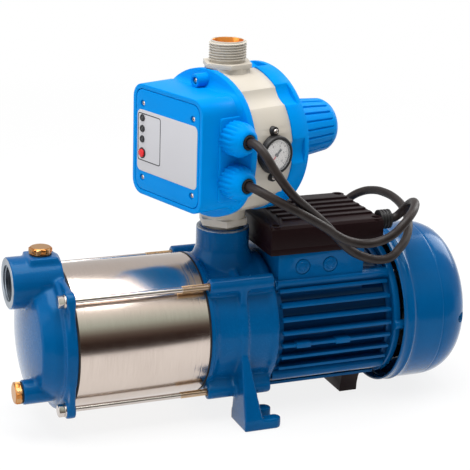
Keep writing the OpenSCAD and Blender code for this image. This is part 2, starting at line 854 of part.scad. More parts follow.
module motor_housing() {
    fin_len = motor_len - 2 * fin_inset;
    place() color(enamel) difference() {
        union() {
            bar_x(motor_x0, motor_x1, core_r);
            bar_x(motor_x0, motor_x0 + end_ring_w, end_ring_r);
            bar_x(motor_x1 - end_ring_w, motor_x1, end_ring_r);
            for (k = [0 : fins - 1])
                let (dz = fin_low + k * fin_pitch, half = sqrt(fin_tip_r ^ 2 - dz ^ 2))
                    translate([motor_x0 + fin_inset, -half, axis_h + dz - fin_t / 2])
                        cube([fin_len, 2 * half, fin_t]);
            for (k = [-2 : 2]) let (dy = k * fin_pitch, drop = sqrt(fin_tip_r ^ 2 - dy ^ 2))
                translate([motor_x0 + fin_inset + side_step, dy - fin_t / 2, axis_h - drop])
                    cube([fin_len - 2 * side_step, fin_t, drop]);
            translate([pedestal_x, -pedestal_w / 2, axis_h])
                cube([pedestal_len, pedestal_w, pedestal_top - axis_h]);
            translate([motor_x0 + fin_inset / 2, -ledge_w / 2, axis_h + ledge_h - ledge_t])
                cube([motor_len - fin_inset, ledge_w, ledge_t]);
            at_screws() bar_x(motor_x0 + side_step, motor_x1 - side_step, screw_boss_r, 0,
                screw_r_place);
            for (x = fin_pad_places)
                translate([pedestal_x + x, -fin_tip_r,
                    axis_h + fin_low + 4 * fin_pitch - fin_pad_h / 2])
                    cube([fin_pad_len, fin_tip_r - core_r + cut, fin_pad_h]);
        }
        bar_x(motor_x0 - cut, motor_x1 + cut, stator_r);
        for (x = knock_places)
            translate([pedestal_x + x, -pedestal_w / 2 + knock_groove, knock_z])
                rotate([90, 0, 0]) difference() {
                cylinder(h = 2 * knock_groove, r = knock_r);
                translate([0, 0, -knock_groove])
                    cylinder(h = 4 * knock_groove, r = knock_r - knock_groove);
            }
        translate([pedestal_x + pedestal_len / 3, -pedestal_w / 8, axis_h])
            cube([pedestal_len / 3, pedestal_w / 4, pedestal_top]);
        at_screws() bar_x(motor_x0 - cut, motor_x1 + cut, motor_screw_d / 2 + fit_gap, 0,
            screw_r_place);
    }
}

module stator_core() {
    place() color(steel) difference() {
        bar_x(stack_x, stack_x + stack_len, stator_r);
        bar_x(stack_x - cut, stack_x + stack_len + cut, rotor_r + rotor_gap);
        for (k = [0 : stator_slots - 1]) rotate_about_axis(k * 360 / stator_slots)
            bar_x(stack_x - cut, stack_x + stack_len + cut, stator_slot_r, 0,
                rotor_r + 3 * stator_slot_r);
    }
}

module stator_windings() {
    place() color(copper) for (x = [stack_x - end_turn_len, stack_x + stack_len])
        ring_x(x, x + end_turn_len, stator_r - cast_wall, rotor_r + stator_slot_r);
}

module rotor_core() {
    place() color(steel) {
        ring_x(stack_x, stack_x + stack_len, rotor_r, rotor_seat_r);
        for (x = [stack_x - cast_wall, stack_x + stack_len])
            ring_x(x, x + cast_wall, rotor_r - stator_slot_r, ring_r);
    }
}

module rear_shield() {
    place() color(enamel) difference() {
        union() {
            bar_x(motor_x1, motor_x1 + shield_t, shield_r);
            bar_x(motor_x1 - shield_hub_len / 2, motor_x1 + shield_hub_len / 2 + shield_t / 3,
                bearing_od / 2 + hub_wall);
            bar_x(motor_x1 - spigot_len, motor_x1 + cut, stator_r - fit_gap);
            at_posts() bar_x(motor_x1, post_x1, post_r);
        }
        bar_x(motor_x1 - shield_hub_len, rear_bearing_x + bearing_w, bearing_od / 2);
        bar_x(motor_x1, cover_x1, journal_r + shaft_room);
        bar_x(motor_x1 - shield_hub_len, motor_x1, bearing_od - cast_wall - spigot_len);
        at_screws() bar_x(motor_x1 - shield_hub_len, cover_x0 + cut, motor_screw_d / 2 + fit_gap, 0,
            screw_r_place);
        at_posts() bar_x(motor_x1 + shield_t, post_x1 + cut, cover_screw_d / 2 + fit_gap);
    }
}

module at_posts() {
    for (a = [0 : 90 : 270]) rotate_about_axis(a) translate([0, 0, post_place]) children();
}

module motor_screws() {
    place() color(steel) at_screws() {
        bar_x(bracket_tail - rim_w, cover_x0, motor_screw_d / 2, 0, screw_r_place);
        hex_x(cover_x0, cover_x0 + motor_screw_head_h, motor_screw_head, 0, screw_r_place);
    }
}

module cooling_fan() {
    place() color(black) {
        ring_x(fan_x, fan_x + fan_w, fan_hub_r, fan_seat_r);
        ring_x(fan_x, fan_x + fan_disc_t, fan_d / 2 - cast_wall, fan_hub_r - cut);
        for (k = [0 : fan_blades - 1]) rotate_about_axis(k * 360 / fan_blades)
            translate([fan_x, -fan_blade_t / 2, axis_h + fan_hub_r - cut])
                cube([fan_w, fan_blade_t, fan_d / 2 - fan_hub_r + cut]);
    }
}

// The shoulder of the fan cover is a quarter of an ellipse between its side and its grille
function shoulder(grow) = [for (i = [0 : shoulder_steps]) let (a = 90 * i / shoulder_steps)
    [grille_r + (fan_cover_r - grille_r) * cos(a) - grow * cos(a),
     cover_x0 + straight_len + (fan_cover_len - straight_len) * sin(a) - grow * sin(a)]];

module fan_cover() {
    outer = shoulder(0);
    inner = shoulder(fan_cover_wall);
    place() color(enamel) difference() {
        union() {
            turned(concat([[fan_cover_r - fan_cover_wall, cover_x0], [fan_cover_r, cover_x0]], outer,
                [[0, cover_x1], [0, cover_x1 - fan_cover_wall]],
                [for (i = [shoulder_steps : -1 : 0]) inner[i]]));
            turned([[fan_cover_r - cut, cover_x0 + bead_x - bead_r],
                [fan_cover_r + bead_r, cover_x0 + bead_x],
                [fan_cover_r - cut, cover_x0 + bead_x + bead_r]]);
            intersection() {
                turned(concat([[0, cover_x0], [fan_cover_r - fan_cover_wall, cover_x0]], outer,
                    [[0, cover_x1]]));
                at_posts() bar_x(post_x1, cover_x1, dimple_r + fan_cover_wall);
            }
        }
        for (k = [0 : grille_rings - 1]) let (r = grille_hub_r + k * 2 * grille_slot) difference() {
            ring_x(cover_x1 - fan_cover_wall - cut, cover_x1 + cut, r + grille_slot, r);
            for (b = [0 : grille_bars - 1]) rotate_about_axis(b * 180 / grille_bars)
                translate([cover_x1 - 2 * fan_cover_wall, -grille_bar_w / 2, axis_h - grille_r])
                    cube([4 * fan_cover_wall, grille_bar_w, 2 * grille_r]);
        }
        at_posts() {
            bar_x(post_x1 + fan_cover_wall, cover_x1, dimple_r);
            bar_x(post_x1 - cut, cover_x1, cover_screw_d / 2 + fit_gap);
        }
    }
}

module fan_cover_screws() {
    seat = post_x1 + fan_cover_wall;
    place() color(steel) at_posts() {
        bar_x(seat, seat + cover_screw_head_h, cover_screw_head / 2);
        bar_x(seat - 3 * cover_screw_head_h, seat + cut, cover_screw_d / 2);
    }
}

module motor_foot() {
    flare = [for (i = [0 : foot_arc_steps]) let (a = 90 * i / foot_arc_steps)
        [motor_foot_half + (motor_foot_flare - motor_foot_half) * (1 - cos(a)),
            motor_foot_rise * sin(a)]];
    place() color(black) difference() {
        translate([motor_foot_x, 0, 0]) rotate([90, 0, 90]) linear_extrude(motor_foot_w)
            polygon(concat([[0, 0]], flare, [[0, motor_foot_rise]],
                [for (i = [foot_arc_steps : -1 : 0]) [-flare[i][0], flare[i][1]]]));
        bar_x(motor_foot_x - cut, motor_foot_x + motor_foot_w + cut, fin_tip_r + free_gap);
    }
}

module at_box_corners() {
    for (x = [box_x + box_screw_inset, box_x + box_len - box_screw_inset],
         y = [box_y + box_screw_inset, box_y + box_w - box_screw_inset])
        translate([x, y, 0]) children();
}

module terminal_box() {
    place() color(black) difference() {
        translate([box_x, box_y, box_z]) cube([box_len, box_w, base_h]);
        translate([pedestal_x + pedestal_len / 3, -pedestal_w / 8, box_z - cut])
            cube([pedestal_len / 3, pedestal_w / 4, base_h + 2 * cut]);
        at_box_corners() translate([0, 0, box_z + base_h / 2])
            cylinder(h = base_h, r = box_screw_d / 2 + fit_gap);
    }
}

module terminal_box_lid() {
    top = lid_z + lid_h;
    place() color(black) difference() {
        union() {
            difference() {
                hull() {
                    translate([box_x, box_y, lid_z]) cube([box_len, box_w, lid_h - lid_round]);
                    translate([box_x + lid_round / 2, box_y + lid_round / 2, lid_z])
                        cube([box_len - lid_round, box_w - lid_round, lid_h - lid_rib_h]);
                }
                translate([box_x + box_wall, box_y + box_wall, lid_z - cut])
                    cube([box_len - 2 * box_wall, box_w - 2 * box_wall,
                        lid_h - lid_rib_h - box_wall + cut]);
            }
            for (k = [0 : lid_ribs - 1])
                let (y = box_y + box_w / 2 + (k - (lid_ribs - 1) / 2) * lid_rib_pitch - lid_rib_w / 2)
                    translate([box_x + box_len / 6, y, top - lid_rib_h - box_wall])
                        cube([box_len * lid_rib_share, lid_rib_w, lid_rib_h + box_wall]);
            at_box_corners() translate([0, 0, lid_z])
                cylinder(h = lid_h - lid_rib_h, r = box_screw_inset - fit_gap);
        }
        at_box_corners() {
            translate([0, 0, lid_z - cut]) cylinder(h = lid_h + 2 * cut, r = box_screw_d / 2 + fit_gap);
            translate([0, 0, top - lid_rib_h - box_screw_d])
                cylinder(h = lid_h, r = box_screw_d + fit_gap);
        }
        translate([box_x + box_len - 2 * box_wall, gland_y, gland_z]) rotate([0, 90, 0])
            cylinder(h = 4 * box_wall, r = cable_r + fit_gap);
    }
}

module lid_screws() {
    top = lid_z + lid_h - lid_rib_h - box_screw_d;
    place() color(steel) at_box_corners() {
        translate([0, 0, top]) cylinder(h = box_screw_d / 2, r = box_screw_d);
        translate([0, 0, lid_z - base_h / 3])
            cylinder(h = top - lid_z + base_h / 2, r = box_screw_d / 2);
    }
}

module run_capacitor() {
    place() color(ceramic)
        translate([box_x + box_wall + box_len / 5, box_y + box_w - 2 * capacitor_r - box_wall,
            lid_z + capacitor_r]) rotate([0, 90, 0]) cylinder(h = capacitor_len, r = capacitor_r);
}

module terminal_block() {
    x0 = box_x + box_len - 3 * box_wall - block_size[0] - box_len / 8;
    place() color(ceramic) translate([x0, box_y + box_w / 7, lid_z]) difference() {
        cube(block_size);
        for (k = [0 : 4]) translate([block_size[0] / 2, (k + 1) * block_size[1] / 6, block_size[2] / 2])
            cylinder(h = block_size[2], r = block_size[1] / 20);
    }
}

module motor_gland() {
    x0 = box_x + box_len;
    place() color(black) translate([0, gland_y, gland_z - axis_h]) difference() {
        union() {
            bar_x(x0, x0 + gland_len - 2 * gland_rib, gland_r - gland_rib);
            for (k = [0 : 3]) let (x = x0 + k * 3 * gland_rib) bar_x(x, x + 2 * gland_rib, gland_r);
        }
        bar_x(x0 - cut, x0 + gland_len + cut, cable_r - cord_bite);
    }
}

module scallops_cut(x0, x1, r) {
    for (k = [0 : scallops - 1]) rotate([k * 360 / scallops, 0, 0])
        bar_c(x0, x1, scallop_r, 0, r + scallop_r - scallop_deep);
}

module controller_body() {
    controller() color(body_grey) difference() {
        union() {
            difference() {
                bar_c(flange_x, body_x1, body_d / 2);
                scallops_cut(flange_x - cut, body_x1 + cut, body_d / 2);
            }
            translate([0, 0, lower_hex_z]) cylinder(h = upper_hex_z - lower_hex_z, r = neck_r);
            translate([0, 0, lower_hex_z]) cylinder(h = hex_h, r = hex_af / 2 / cos(30), $fn = 6);
            translate([0, 0, upper_hex_z]) cylinder(h = hex_h, r = hex_af / 2 / cos(30), $fn = 6);
            translate([0, 0, upper_hex_z + hex_h - cut])
                cylinder(h = outlet_thread_len + cut, r = outlet_thread_d / 2);
            translate([0, 0, outlet_rim_h - spigot_deep - ctrl_h])
                cylinder(h = lower_hex_stand + spigot_deep + cut, r = thread_bore_d / 2 - run_gap);
        }
        translate([0, 0, valve_z - seat_t]) cylinder(h = outlet_top_h, r = water_bore_d / 2);
        translate([0, 0, outlet_rim_h - spigot_deep - ctrl_h - cut])
            cylinder(h = valve_z + ctrl_h, r = water_bore_d / 2 - seat_lip);
        bar_c(chamber_x, body_x1 + cut, chamber_r);
        bar_near(gauge_seat, body_d, gauge_case_r + fit_gap, gauge_x, 0);
        for (s = [-1, 1]) bar_near(gauge_ear_y, body_d, gauge_ear_r + fit_gap, gauge_x, s * gauge_ear);
        for (s = [-1, 1]) bar_near(gauge_ear_y - 2 * gauge_screw_d, body_d, gauge_screw_d / 4 + fit_gap,
            gauge_x, s * gauge_ear);
        at_rear_screws() bar_c(body_x1 - 2 * lug_screw_d, body_x1 + cut, lug_screw_d / 4 + fit_gap);
        for (z = gland_nut_z) bar_near(nut_base, body_d, nut_r + free_gap, gland_nut_x, z);
    }
}

module at_face_screws() {
    for (y = [-1, 1], z = [-1, 1]) translate([0, y * face_screw_y, z * face_screw_z]) children();
}

module front_housing() {
    box_x1 = front_x + front_depth;
    controller() color(casing_blue) difference() {
        union() {
            slab_c(front_x, box_x1, front_w, front_h, front_round);
            hull() {
                slab_c(box_x1 - cut, box_x1 - fit_gap, front_w - 2 * fit_gap, front_h - 2 * fit_gap,
                    front_round, $fn = 32);
                bar_c(flare_x, flare_x + cut, cover_d / 2 - case_wall, $fn = 64);
            }
            bar_c(flare_x, flange_x, cover_d / 2);
            bar_c(front_lug_x - 2 * case_wall, flange_x, front_lug_r, 0, front_lug_z);
        }
        translate([-face_t, 0, 0]) slab_c(front_x, front_x + 2 * face_t, front_w - 2 * plate_inset,
            front_h - 2 * plate_inset, front_round - plate_inset);
        slab_c(front_x + face_t + case_wall, flange_x - case_wall, front_w - 4 * case_wall,
            front_h - 4 * case_wall, front_round - case_wall);
        at_face_screws() bar_c(front_x, front_x + 3 * face_screw_d, face_screw_d / 4 + fit_gap);
        bar_c(front_x - cut, box_x1, button_shank_r + free_gap, button_y, button_z);
        for (z = light_z) bar_c(front_x - cut, box_x1, light_r + fit_gap, light_y, z);
        for (z = gland_nut_z) bar_near(nut_base, body_d, nut_r + free_gap, gland_nut_x, z);
        bar_c(front_lug_x - 3 * case_wall, front_lug_x, lug_screw_d / 2 + fit_gap, 0, front_lug_z);
        translate([0, 0, -cover_d]) cylinder(h = 2 * cover_d, r = neck_r + fit_gap);
    }
}

module face_plate() {
    controller() color(casing_blue) difference() {
        slab_c(front_x - fit_gap, front_x + face_t / 2, front_w - 2 * plate_inset - plate_groove,
            front_h - 2 * plate_inset - plate_groove, front_round - plate_inset);
        translate([0, 0, -label_drop])
            slab_c(front_x - cut, front_x, label_w + fit_gap, label_h + fit_gap, label_round);
        at_face_screws() {
            bar_c(front_x - cut, front_x + face_t, face_screw_d / 4 + fit_gap);
            bar_c(front_x - cut, front_x + face_t / 4, face_screw_d / 2 + fit_gap);
        }
        bar_c(front_x - cut, front_x + 2 * face_t, button_shank_r + free_gap, button_y, button_z);
        for (z = light_z) bar_c(front_x - cut, front_x + 2 * face_t, light_r + fit_gap, light_y, z);
    }
}

module face_screws() {
    seat = front_x + face_t / 4;
    controller() color(steel) at_face_screws() {
        bar_c(seat - face_t / 4, seat, face_screw_d / 2);
        bar_c(seat - fit_gap, seat + 2 * face_screw_d, face_screw_d / 4);
    }
}

module label_panel() {
    controller() color([0.82, 0.82, 0.84]) difference() {
        translate([0, 0, -label_drop])
            slab_c(front_x - label_t, front_x, label_w, label_h, label_round);
        bar_c(front_x - cut, front_x + cut, button_r + free_gap, button_y, button_z);
        for (z = light_z) bar_c(front_x - cut, front_x + cut, light_r + fit_gap, light_y, z);
    }
}

module status_lights() {
    controller() color([0.2, 0.2, 0.22]) for (z = light_z)
        bar_c(front_x - 2 * label_t, board_x, light_r, light_y, z);
}

module restart_button() {
    controller() color([0.85, 0.1, 0.12]) {
        bar_c(front_x - label_t - button_out - button_travel, front_x - label_t / 3 - button_travel,
            button_r, button_y, button_z);
        bar_c(front_x - label_t - button_travel, board_x - free_gap - button_travel, button_shank_r,
            button_y, button_z);
    }
}

module circuit_board() {
    controller() color([0.1, 0.4, 0.2]) difference() {
        translate([board_x, -board_size[1] / 2, -board_size[2] / 2]) cube(board_size);
        for (z = gland_nut_z) bar_near(0, body_d, nut_tip_r, gland_nut_x, z);
    }
}

module flow_valve() {
    valve_r = water_bore_d / 2 - valve_gap;
    controller() color([0.9, 0.9, 0.88]) translate([0, 0, valve_z]) {
        cylinder(h = valve_len / 3, r = valve_r);
        cylinder(h = valve_len, r = valve_stem_r);
        for (a = [0 : 60 : 300]) rotate([0, 0, a])
            translate([0, -shroud_t / 2, 0]) cube([valve_r, shroud_t, valve_len]);
    }
}

module at_rear_screws() {
    for (k = [0 : rear_lug_count - 1]) rotate([rear_lug_angle + k * 90, 0, 0])
        translate([0, 0, body_d / 2 - pocket_r]) children();
}

module rear_cover() {
    controller() color(casing_blue) difference() {
        union() {
            difference() {
                bar_c(body_x1, rear_x1, cover_d / 2);
                for (k = [0 : scallops - 1]) rotate([k * 360 / scallops, 0, 0])
                    bar_c(body_x1 - cut, rear_x1 - case_wall * 3 / 2, scallop_r, 0,
                        cover_d / 2 + scallop_r - pocket_deep);
            }
            translate([rear_x1, 0, 0]) rotate([0, 90, 0])
                cylinder(h = rear_boss_x - rear_x1, r1 = rear_boss_r, r2 = rear_boss_end_r);
            bar_c(rear_boss_x - cut, rear_boss_x + knob_post_len / 2, spring_r + 2 * case_wall);
        }
        bar_c(body_x1 - cut, body_x1 + 2 * case_wall, chamber_r);
        bar_c(body_x1 - cut, rear_boss_x + knob_post_len / 2 + cut, spring_r + case_wall);
        at_rear_screws() {
            bar_c(body_x1 - cut, rear_x1 + cut, lug_screw_d / 4 + fit_gap);
            bar_c(rear_x1 - case_wall, rear_x1 + cut, lug_screw_d / 2 + fit_gap);
        }
    }
}

module rear_cover_screws() {
    seat = rear_x1 - case_wall;
    controller() color(steel) at_rear_screws() {
        bar_c(seat, seat + case_wall / 2, lug_screw_d / 2);
        bar_c(body_x1 - lug_screw_d, seat + fit_gap, lug_screw_d / 4);
    }
}

module pressure_piston() {
    controller() color([0.2, 0.2, 0.2]) {
        bar_c(piston_x, piston_x + piston_t, piston_r);
        bar_c(piston_x, piston_x + 2 * piston_t, spring_r - spring_wall);
    }
}

module pressure_spring() {
    x0 = piston_x + piston_t;
    x1 = knob_x - piston_travel - free_gap;
    controller() color(steel) difference() {
        bar_c(x0, x1, spring_r);
        bar_c(x0 - cut, x1 + cut, spring_r - spring_wall);
    }
}

module adjuster_knob() {
    x1 = knob_x + knob_len;
    round_r = 6;
    inner = spring_r + 2 * case_wall + free_gap;
    controller() color(casing_blue) difference() {
        translate([knob_x, 0, 0]) rotate([0, 90, 0]) difference() {
            rotate_extrude() polygon([[0, 0], [knob_d / 2, 0], [knob_end_d / 2, knob_len - round_r],
                [knob_end_d / 2 - round_r / 3, knob_len - round_r / 3],
                [knob_end_d / 2 - round_r, knob_len], [0, knob_len]]);
            for (k = [0 : knob_flutes - 1]) rotate([0, 0, k * 360 / knob_flutes])
                translate([(knob_d + knob_end_d) / 4 + flute_r / 2, 0, 2 * knob_wall])
                    rotate([0, -atan((knob_d - knob_end_d) / 2 / knob_len), 0])
                        cylinder(h = knob_len, r = flute_r, $fn = 24);
        }
        bar_c(knob_x - cut, knob_x + knob_post_len / 2 + knob_wall, inner);
        bar_c(knob_x - cut, x1 - 2 * knob_wall, knob_post_r);
    }
}

module gauge_case() {
    controller() color(black) difference() {
        union() {
            bar_near(gauge_seat, gauge_face, gauge_case_r, gauge_x, 0);
            for (s = [-1, 1])
                bar_near(gauge_ear_y, gauge_ear_y + gauge_ear_t, gauge_ear_r, gauge_x, s * gauge_ear);
        }
        bar_near(gauge_face - dial_deep, gauge_face + cut, dial_d / 2 + fit_gap, gauge_x, 0);
        for (s = [-1, 1])
            bar_near(gauge_seat, gauge_face, gauge_screw_d / 4 + fit_gap, gauge_x, s * gauge_ear);
    }
}

module gauge_dial() {
    controller() color("white")
        bar_near(gauge_face - dial_deep, gauge_face - dial_deep + dial_t, dial_d / 2, gauge_x, 0);
}

module gauge_needle() {
    d0 = gauge_face - dial_deep + dial_t + free_gap;
    controller() color(black) {
        bar_near(d0, d0 + 2 * needle_t, needle_hub_r, gauge_x, 0);
        translate([gauge_x, -d0, 0]) rotate([0, -needle_angle, 0])
            translate([-needle_tail, -needle_t, -needle_w / 2])
                cube([needle_len + needle_tail, needle_t, needle_w]);
    }
}

module gauge_lens() {
    controller() color([0.9, 0.95, 1, 0.35])
        bar_near(gauge_face - lens_t, gauge_face, dial_d / 2, gauge_x, 0);
}

module gauge_screws() {
    d1 = gauge_ear_y + gauge_ear_t;
    controller() color(steel) for (s = [-1, 1]) {
        bar_near(d1, d1 + gauge_screw_d / 3, gauge_screw_d / 2, gauge_x, s * gauge_ear);
        bar_near(d1 - 2 * gauge_screw_d, d1 + fit_gap, gauge_screw_d / 4, gauge_x, s * gauge_ear);
    }
}

module cable_glands() {
    controller() color(casing_blue) for (z = gland_nut_z) difference() {
        union() {
            bar_near(nut_base, nut_base + nut_straight, nut_r, gland_nut_x, z);
            bar_near(nut_base + nut_straight, nut_tip, nut_r, gland_nut_x, z, nut_tip_r);
        }
        bar_near(nut_base - cut, nut_tip + cut, cable_r - cord_bite, gland_nut_x, z);
    }
}

module motor_cable() { place() color(black) tube(motor_route, cable_r, cable_sides); }
module mains_cable() { place() color(black) tube(mains_route, cable_r, cable_sides); }

// The coil winds in on the floor, climbs one layer in half a turn where it turns back, and winds out
coil_count = coil_turns * coil_steps;
climb_middle = 1 / 2;
function coil_place(i) = let (s = i / coil_count, a = 180 - 360 * i / coil_steps,
    r = coil_r - coil_fall * (1 - abs(1 - 2 * s)), half = coil_count / 2,
    climb = (i - half) / (coil_steps / 2) + climb_middle)
    [coil_x + r * cos(a), coil_y + r * sin(a), cable_r + layer_step * min(1, max(0, climb))];
coil_end = coil_place(coil_count);
coil_tail = [[coil_end[0], coil_end[1] - tail_out, coil_end[2]],
    [coil_end[0], plug_tail_y + tail_out, plug_z], [coil_end[0], plug_tail_y, plug_z]];
coil_path = concat([[coil_x - coil_r, mains_route[len(mains_route) - 1][1], cable_r]],
    [for (i = [0 : coil_count]) coil_place(i)], coil_tail);

coil_gap = min([for (i = [0 : len(coil_path) - 1], j = [i + coil_steps / 2 : 1 : len(coil_path) - 1])
    norm(coil_path[i] - coil_path[j])]) - cable_d;
echo(least_gap_between_turns = coil_gap);

module mains_coil() { place() color(black) tube(coil_path, cable_r, coil_sides); }

module cable_tie() {
    in_r = coil_r - coil_fall - cable_r - tie_clear;
    out_r = coil_r + cable_r + tie_clear;
    high = layer_step + cable_d + tie_clear;
    place() color([0.15, 0.15, 0.15]) translate([coil_x - tie_w / 2, coil_y, 0]) difference() {
        translate([0, in_r - tie_band, 0]) cube([tie_w, out_r - in_r + 2 * tie_band, high + tie_band]);
        translate([-cut, in_r, -cut]) cube([tie_w + 2 * cut, out_r - in_r, high + cut]);
    }
}

module mains_plug() {
    place() color(black) translate([coil_end[0], plug_tail_y, plug_z]) rotate([90, 0, 0]) {
        cylinder(h = plug_relief_len, r1 = plug_relief_r, r2 = plug_back_r);
        translate([0, 0, plug_relief_len - cut])
            cylinder(h = plug_len, r1 = plug_back_r, r2 = plug_face_r);
        for (s = [-1, 1]) translate([0, s * plug_pin_y, plug_relief_len + plug_len - 2 * cut])
            cylinder(h = plug_pin_len, r = plug_pin_r);
    }
}

suction_cover();
brass_plugs();
plug_seals();
shell_gaskets();
pump_shell();
tie_bolts();
discharge_bracket();
stage_casings();
impellers();
rotor_shaft();
impeller_nut();
seal_rotating_ring();
seal_fixed_ring();
water_slinger();
bearing_outer_rings();
bearing_inner_rings();
bearing_balls();
motor_housing();
stator_core();
stator_windings();
rotor_core();
rear_shield();
motor_screws();
cooling_fan();
fan_cover();
fan_cover_screws();
motor_foot();
terminal_box();
terminal_box_lid();
lid_screws();
run_capacitor();
terminal_block();
motor_gland();
controller_body();
front_housing();
face_plate();
face_screws();
label_panel();
status_lights();
restart_button();
circuit_board();
flow_valve();
rear_cover();
pressure_piston();
pressure_spring();
adjuster_knob();
rear_cover_screws();
gauge_case();
gauge_dial();
gauge_needle();
gauge_lens();
gauge_screws();
cable_glands();
motor_cable();
mains_cable();
mains_coil();
cable_tie();
mains_plug();
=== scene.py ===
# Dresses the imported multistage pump: castings, motor, controller, cables and their finishes.
# The frame is in metres. Sizes in the dictionaries are in millimetres, and stations along the
# shaft are counted from the outlet's axis, as on the pump's own drawing.
import math

import bpy
from mathutils import Matrix, Vector


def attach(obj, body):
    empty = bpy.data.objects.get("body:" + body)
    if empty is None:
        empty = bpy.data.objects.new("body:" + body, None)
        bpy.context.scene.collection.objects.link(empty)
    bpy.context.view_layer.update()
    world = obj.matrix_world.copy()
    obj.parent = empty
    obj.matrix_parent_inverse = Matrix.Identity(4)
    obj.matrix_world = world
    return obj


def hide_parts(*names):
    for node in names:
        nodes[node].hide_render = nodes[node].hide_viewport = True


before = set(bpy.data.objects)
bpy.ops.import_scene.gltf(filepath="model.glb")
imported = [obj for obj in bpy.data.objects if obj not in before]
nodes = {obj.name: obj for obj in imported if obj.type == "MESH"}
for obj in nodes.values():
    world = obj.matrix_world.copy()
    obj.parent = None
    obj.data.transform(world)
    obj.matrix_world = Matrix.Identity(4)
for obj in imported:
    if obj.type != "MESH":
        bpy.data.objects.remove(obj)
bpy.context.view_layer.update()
print("stage: frame loaded,", len(nodes), "nodes")

mm = 0.001
layout = {"outletStation": -10.75, "shaftHeight": 80, "controllerHeight": 249, "controllerTurn": 17}


def spot(x, y, z):
    # a station, a place across and a height, as a point of the frame
    return Vector(((x + layout["outletStation"]) * mm, y * mm, z * mm))


def frameAt(x, y, z):
    return Matrix.Translation(spot(x, y, z))


def shift(x, y, z):
    return Matrix.Translation((x * mm, y * mm, z * mm))


def turned(degrees, axis="Z"):
    return Matrix.Rotation(math.radians(degrees), 4, axis)


plain = Matrix.Identity(4)
alongX = turned(90, "Y")  # turns up along the shaft
nearSide = turned(90, "X")  # turns up into the controller's near side
frontSide = Matrix(((0, 0, -1, 0), (-1, 0, 0, 0), (0, 1, 0, 0), (0, 0, 0, 1)))  # up becomes its front
pumpFrame = frameAt(0, 0, 0)
shaftLine = frameAt(0, 0, layout["shaftHeight"]) @ alongX
controllerFrame = frameAt(0, 0, layout["controllerHeight"]) @ turned(layout["controllerTurn"])

camera = {
    "place": (-503.29, -1259.61, 584.0), "yaw": 22.26, "pitch": -17.35, "roll": 1.77,
    "lens": 119.98, "sensor": 36, "reach": 50,
}


def makeCamera():
    # level and facing away along Y, then turned to the right, tipped down and rolled
    data = bpy.data.cameras.new("photoCamera")
    data.sensor_width = camera["sensor"]
    data.lens = camera["lens"]
    data.clip_end = camera["reach"]
    holder = link(bpy.data.objects.new("photoCamera", data))
    holder.matrix_world = (frameAt(*camera["place"]) @ turned(-camera["yaw"])
                           @ turned(90 + camera["pitch"], "X") @ turned(camera["roll"]))
    bpy.context.scene.camera = holder


# modelling tools
def link(piece):
    bpy.context.scene.collection.objects.link(piece)
    return piece


def letGo():
    if bpy.context.object and bpy.context.object.mode != "OBJECT":
        leaveEdit()
    bpy.ops.object.select_all(action="DESELECT")


def takeHold(*pieces):
    letGo()
    for piece in pieces:
        piece.select_set(True)
    bpy.context.view_layer.objects.active = pieces[0]


def edit(piece, kind="VERT", action="SELECT"):
    takeHold(piece)
    bpy.ops.object.mode_set(mode="EDIT")
    bpy.ops.mesh.select_mode(type=kind)
    bpy.ops.mesh.select_all(action=action)


def selectAll():
    bpy.ops.mesh.select_all(action="SELECT")


def leaveEdit():
    bpy.ops.object.mode_set(mode="OBJECT")


def pick(piece, kind, test):
    # selects the vertices, edges or faces that pass the test, and leaves the piece in edit mode
    edit(piece, kind, "DESELECT")
    leaveEdit()
    for part in getattr(piece.data, {"VERT": "vertices", "EDGE": "edges", "FACE": "polygons"}[kind]):
        part.select = bool(test(part))
    bpy.ops.object.mode_set(mode="EDIT")


def extrude(x, y, z):
    bpy.ops.mesh.extrude_region_move(TRANSFORM_OT_translate={"value": (x * mm, y * mm, z * mm)})


def grow(x, y, z, middle=(0, 0, 0)):
    bpy.ops.transform.resize(value=(x, y, z), center_override=middle)


def modify(piece, kind, **settings):
    takeHold(piece)
    modifier = piece.modifiers.new(kind.title(), kind)
    for name, value in settings.items():
        setattr(modifier, name, value)
    bpy.ops.object.modifier_apply(modifier=modifier.name)
    return piece


def roundSharp(piece, width, segments, limit, **more):
    return modify(piece, "BEVEL", width=width * mm, segments=segments, limit_method="ANGLE",
                  angle_limit=math.radians(limit), **more)


def settle(piece, matrix=None):
    # puts the piece's place into its mesh, so that its object stays at the origin
    if matrix is not None:
        piece.matrix_world = matrix @ piece.matrix_world
    takeHold(piece)
    bpy.ops.object.transform_apply(location=True, rotation=True, scale=True)
    return piece


def tidyMesh(piece):
    edit(piece)
    bpy.ops.mesh.remove_doubles(threshold=0.00001)
    bpy.ops.mesh.normals_make_consistent(inside=False)
    leaveEdit()
    return piece


def smooth(piece, angle):
    takeHold(piece)
    bpy.ops.object.shade_smooth_by_angle(angle=math.radians(angle))
    return piece


def newPiece(name, add, **settings):
    letGo()
    add(**settings)
    piece = bpy.context.object
    piece.name = name
    return piece


def closed(profile):
    return profile + profile[:1]


def drawLine(name, profile):
    # a line of (radius, height) points, drawn by extruding a single vertex
    piece = newPiece(name, bpy.ops.mesh.primitive_plane_add, size=mm)
    edit(piece)
    bpy.ops.mesh.merge(type="CENTER")
    bpy.ops.transform.translate(value=(profile[0][0] * mm, 0, profile[0][1] * mm))
    for (lastRadius, lastHeight), (radius, height) in zip(profile, profile[1:]):
        extrude(radius - lastRadius, 0, height - lastHeight)
    leaveEdit()
    return piece


def turnPiece(name, profile, matrix, steps=96, angle=35):
    # a profile spun about the frame's Z
    piece = drawLine(name, profile)
    edit(piece)
    bpy.ops.mesh.spin(steps=steps, angle=math.tau, center=(0, 0, 0), axis=(0, 0, 1), use_auto_merge=True)
    leaveEdit()
    return smooth(tidyMesh(settle(piece, matrix)), angle)


def joinPieces(name, pieces):
    takeHold(*pieces)
    if len(pieces) > 1:
        bpy.ops.object.join()
    piece = bpy.context.object
    piece.name = name
    return piece


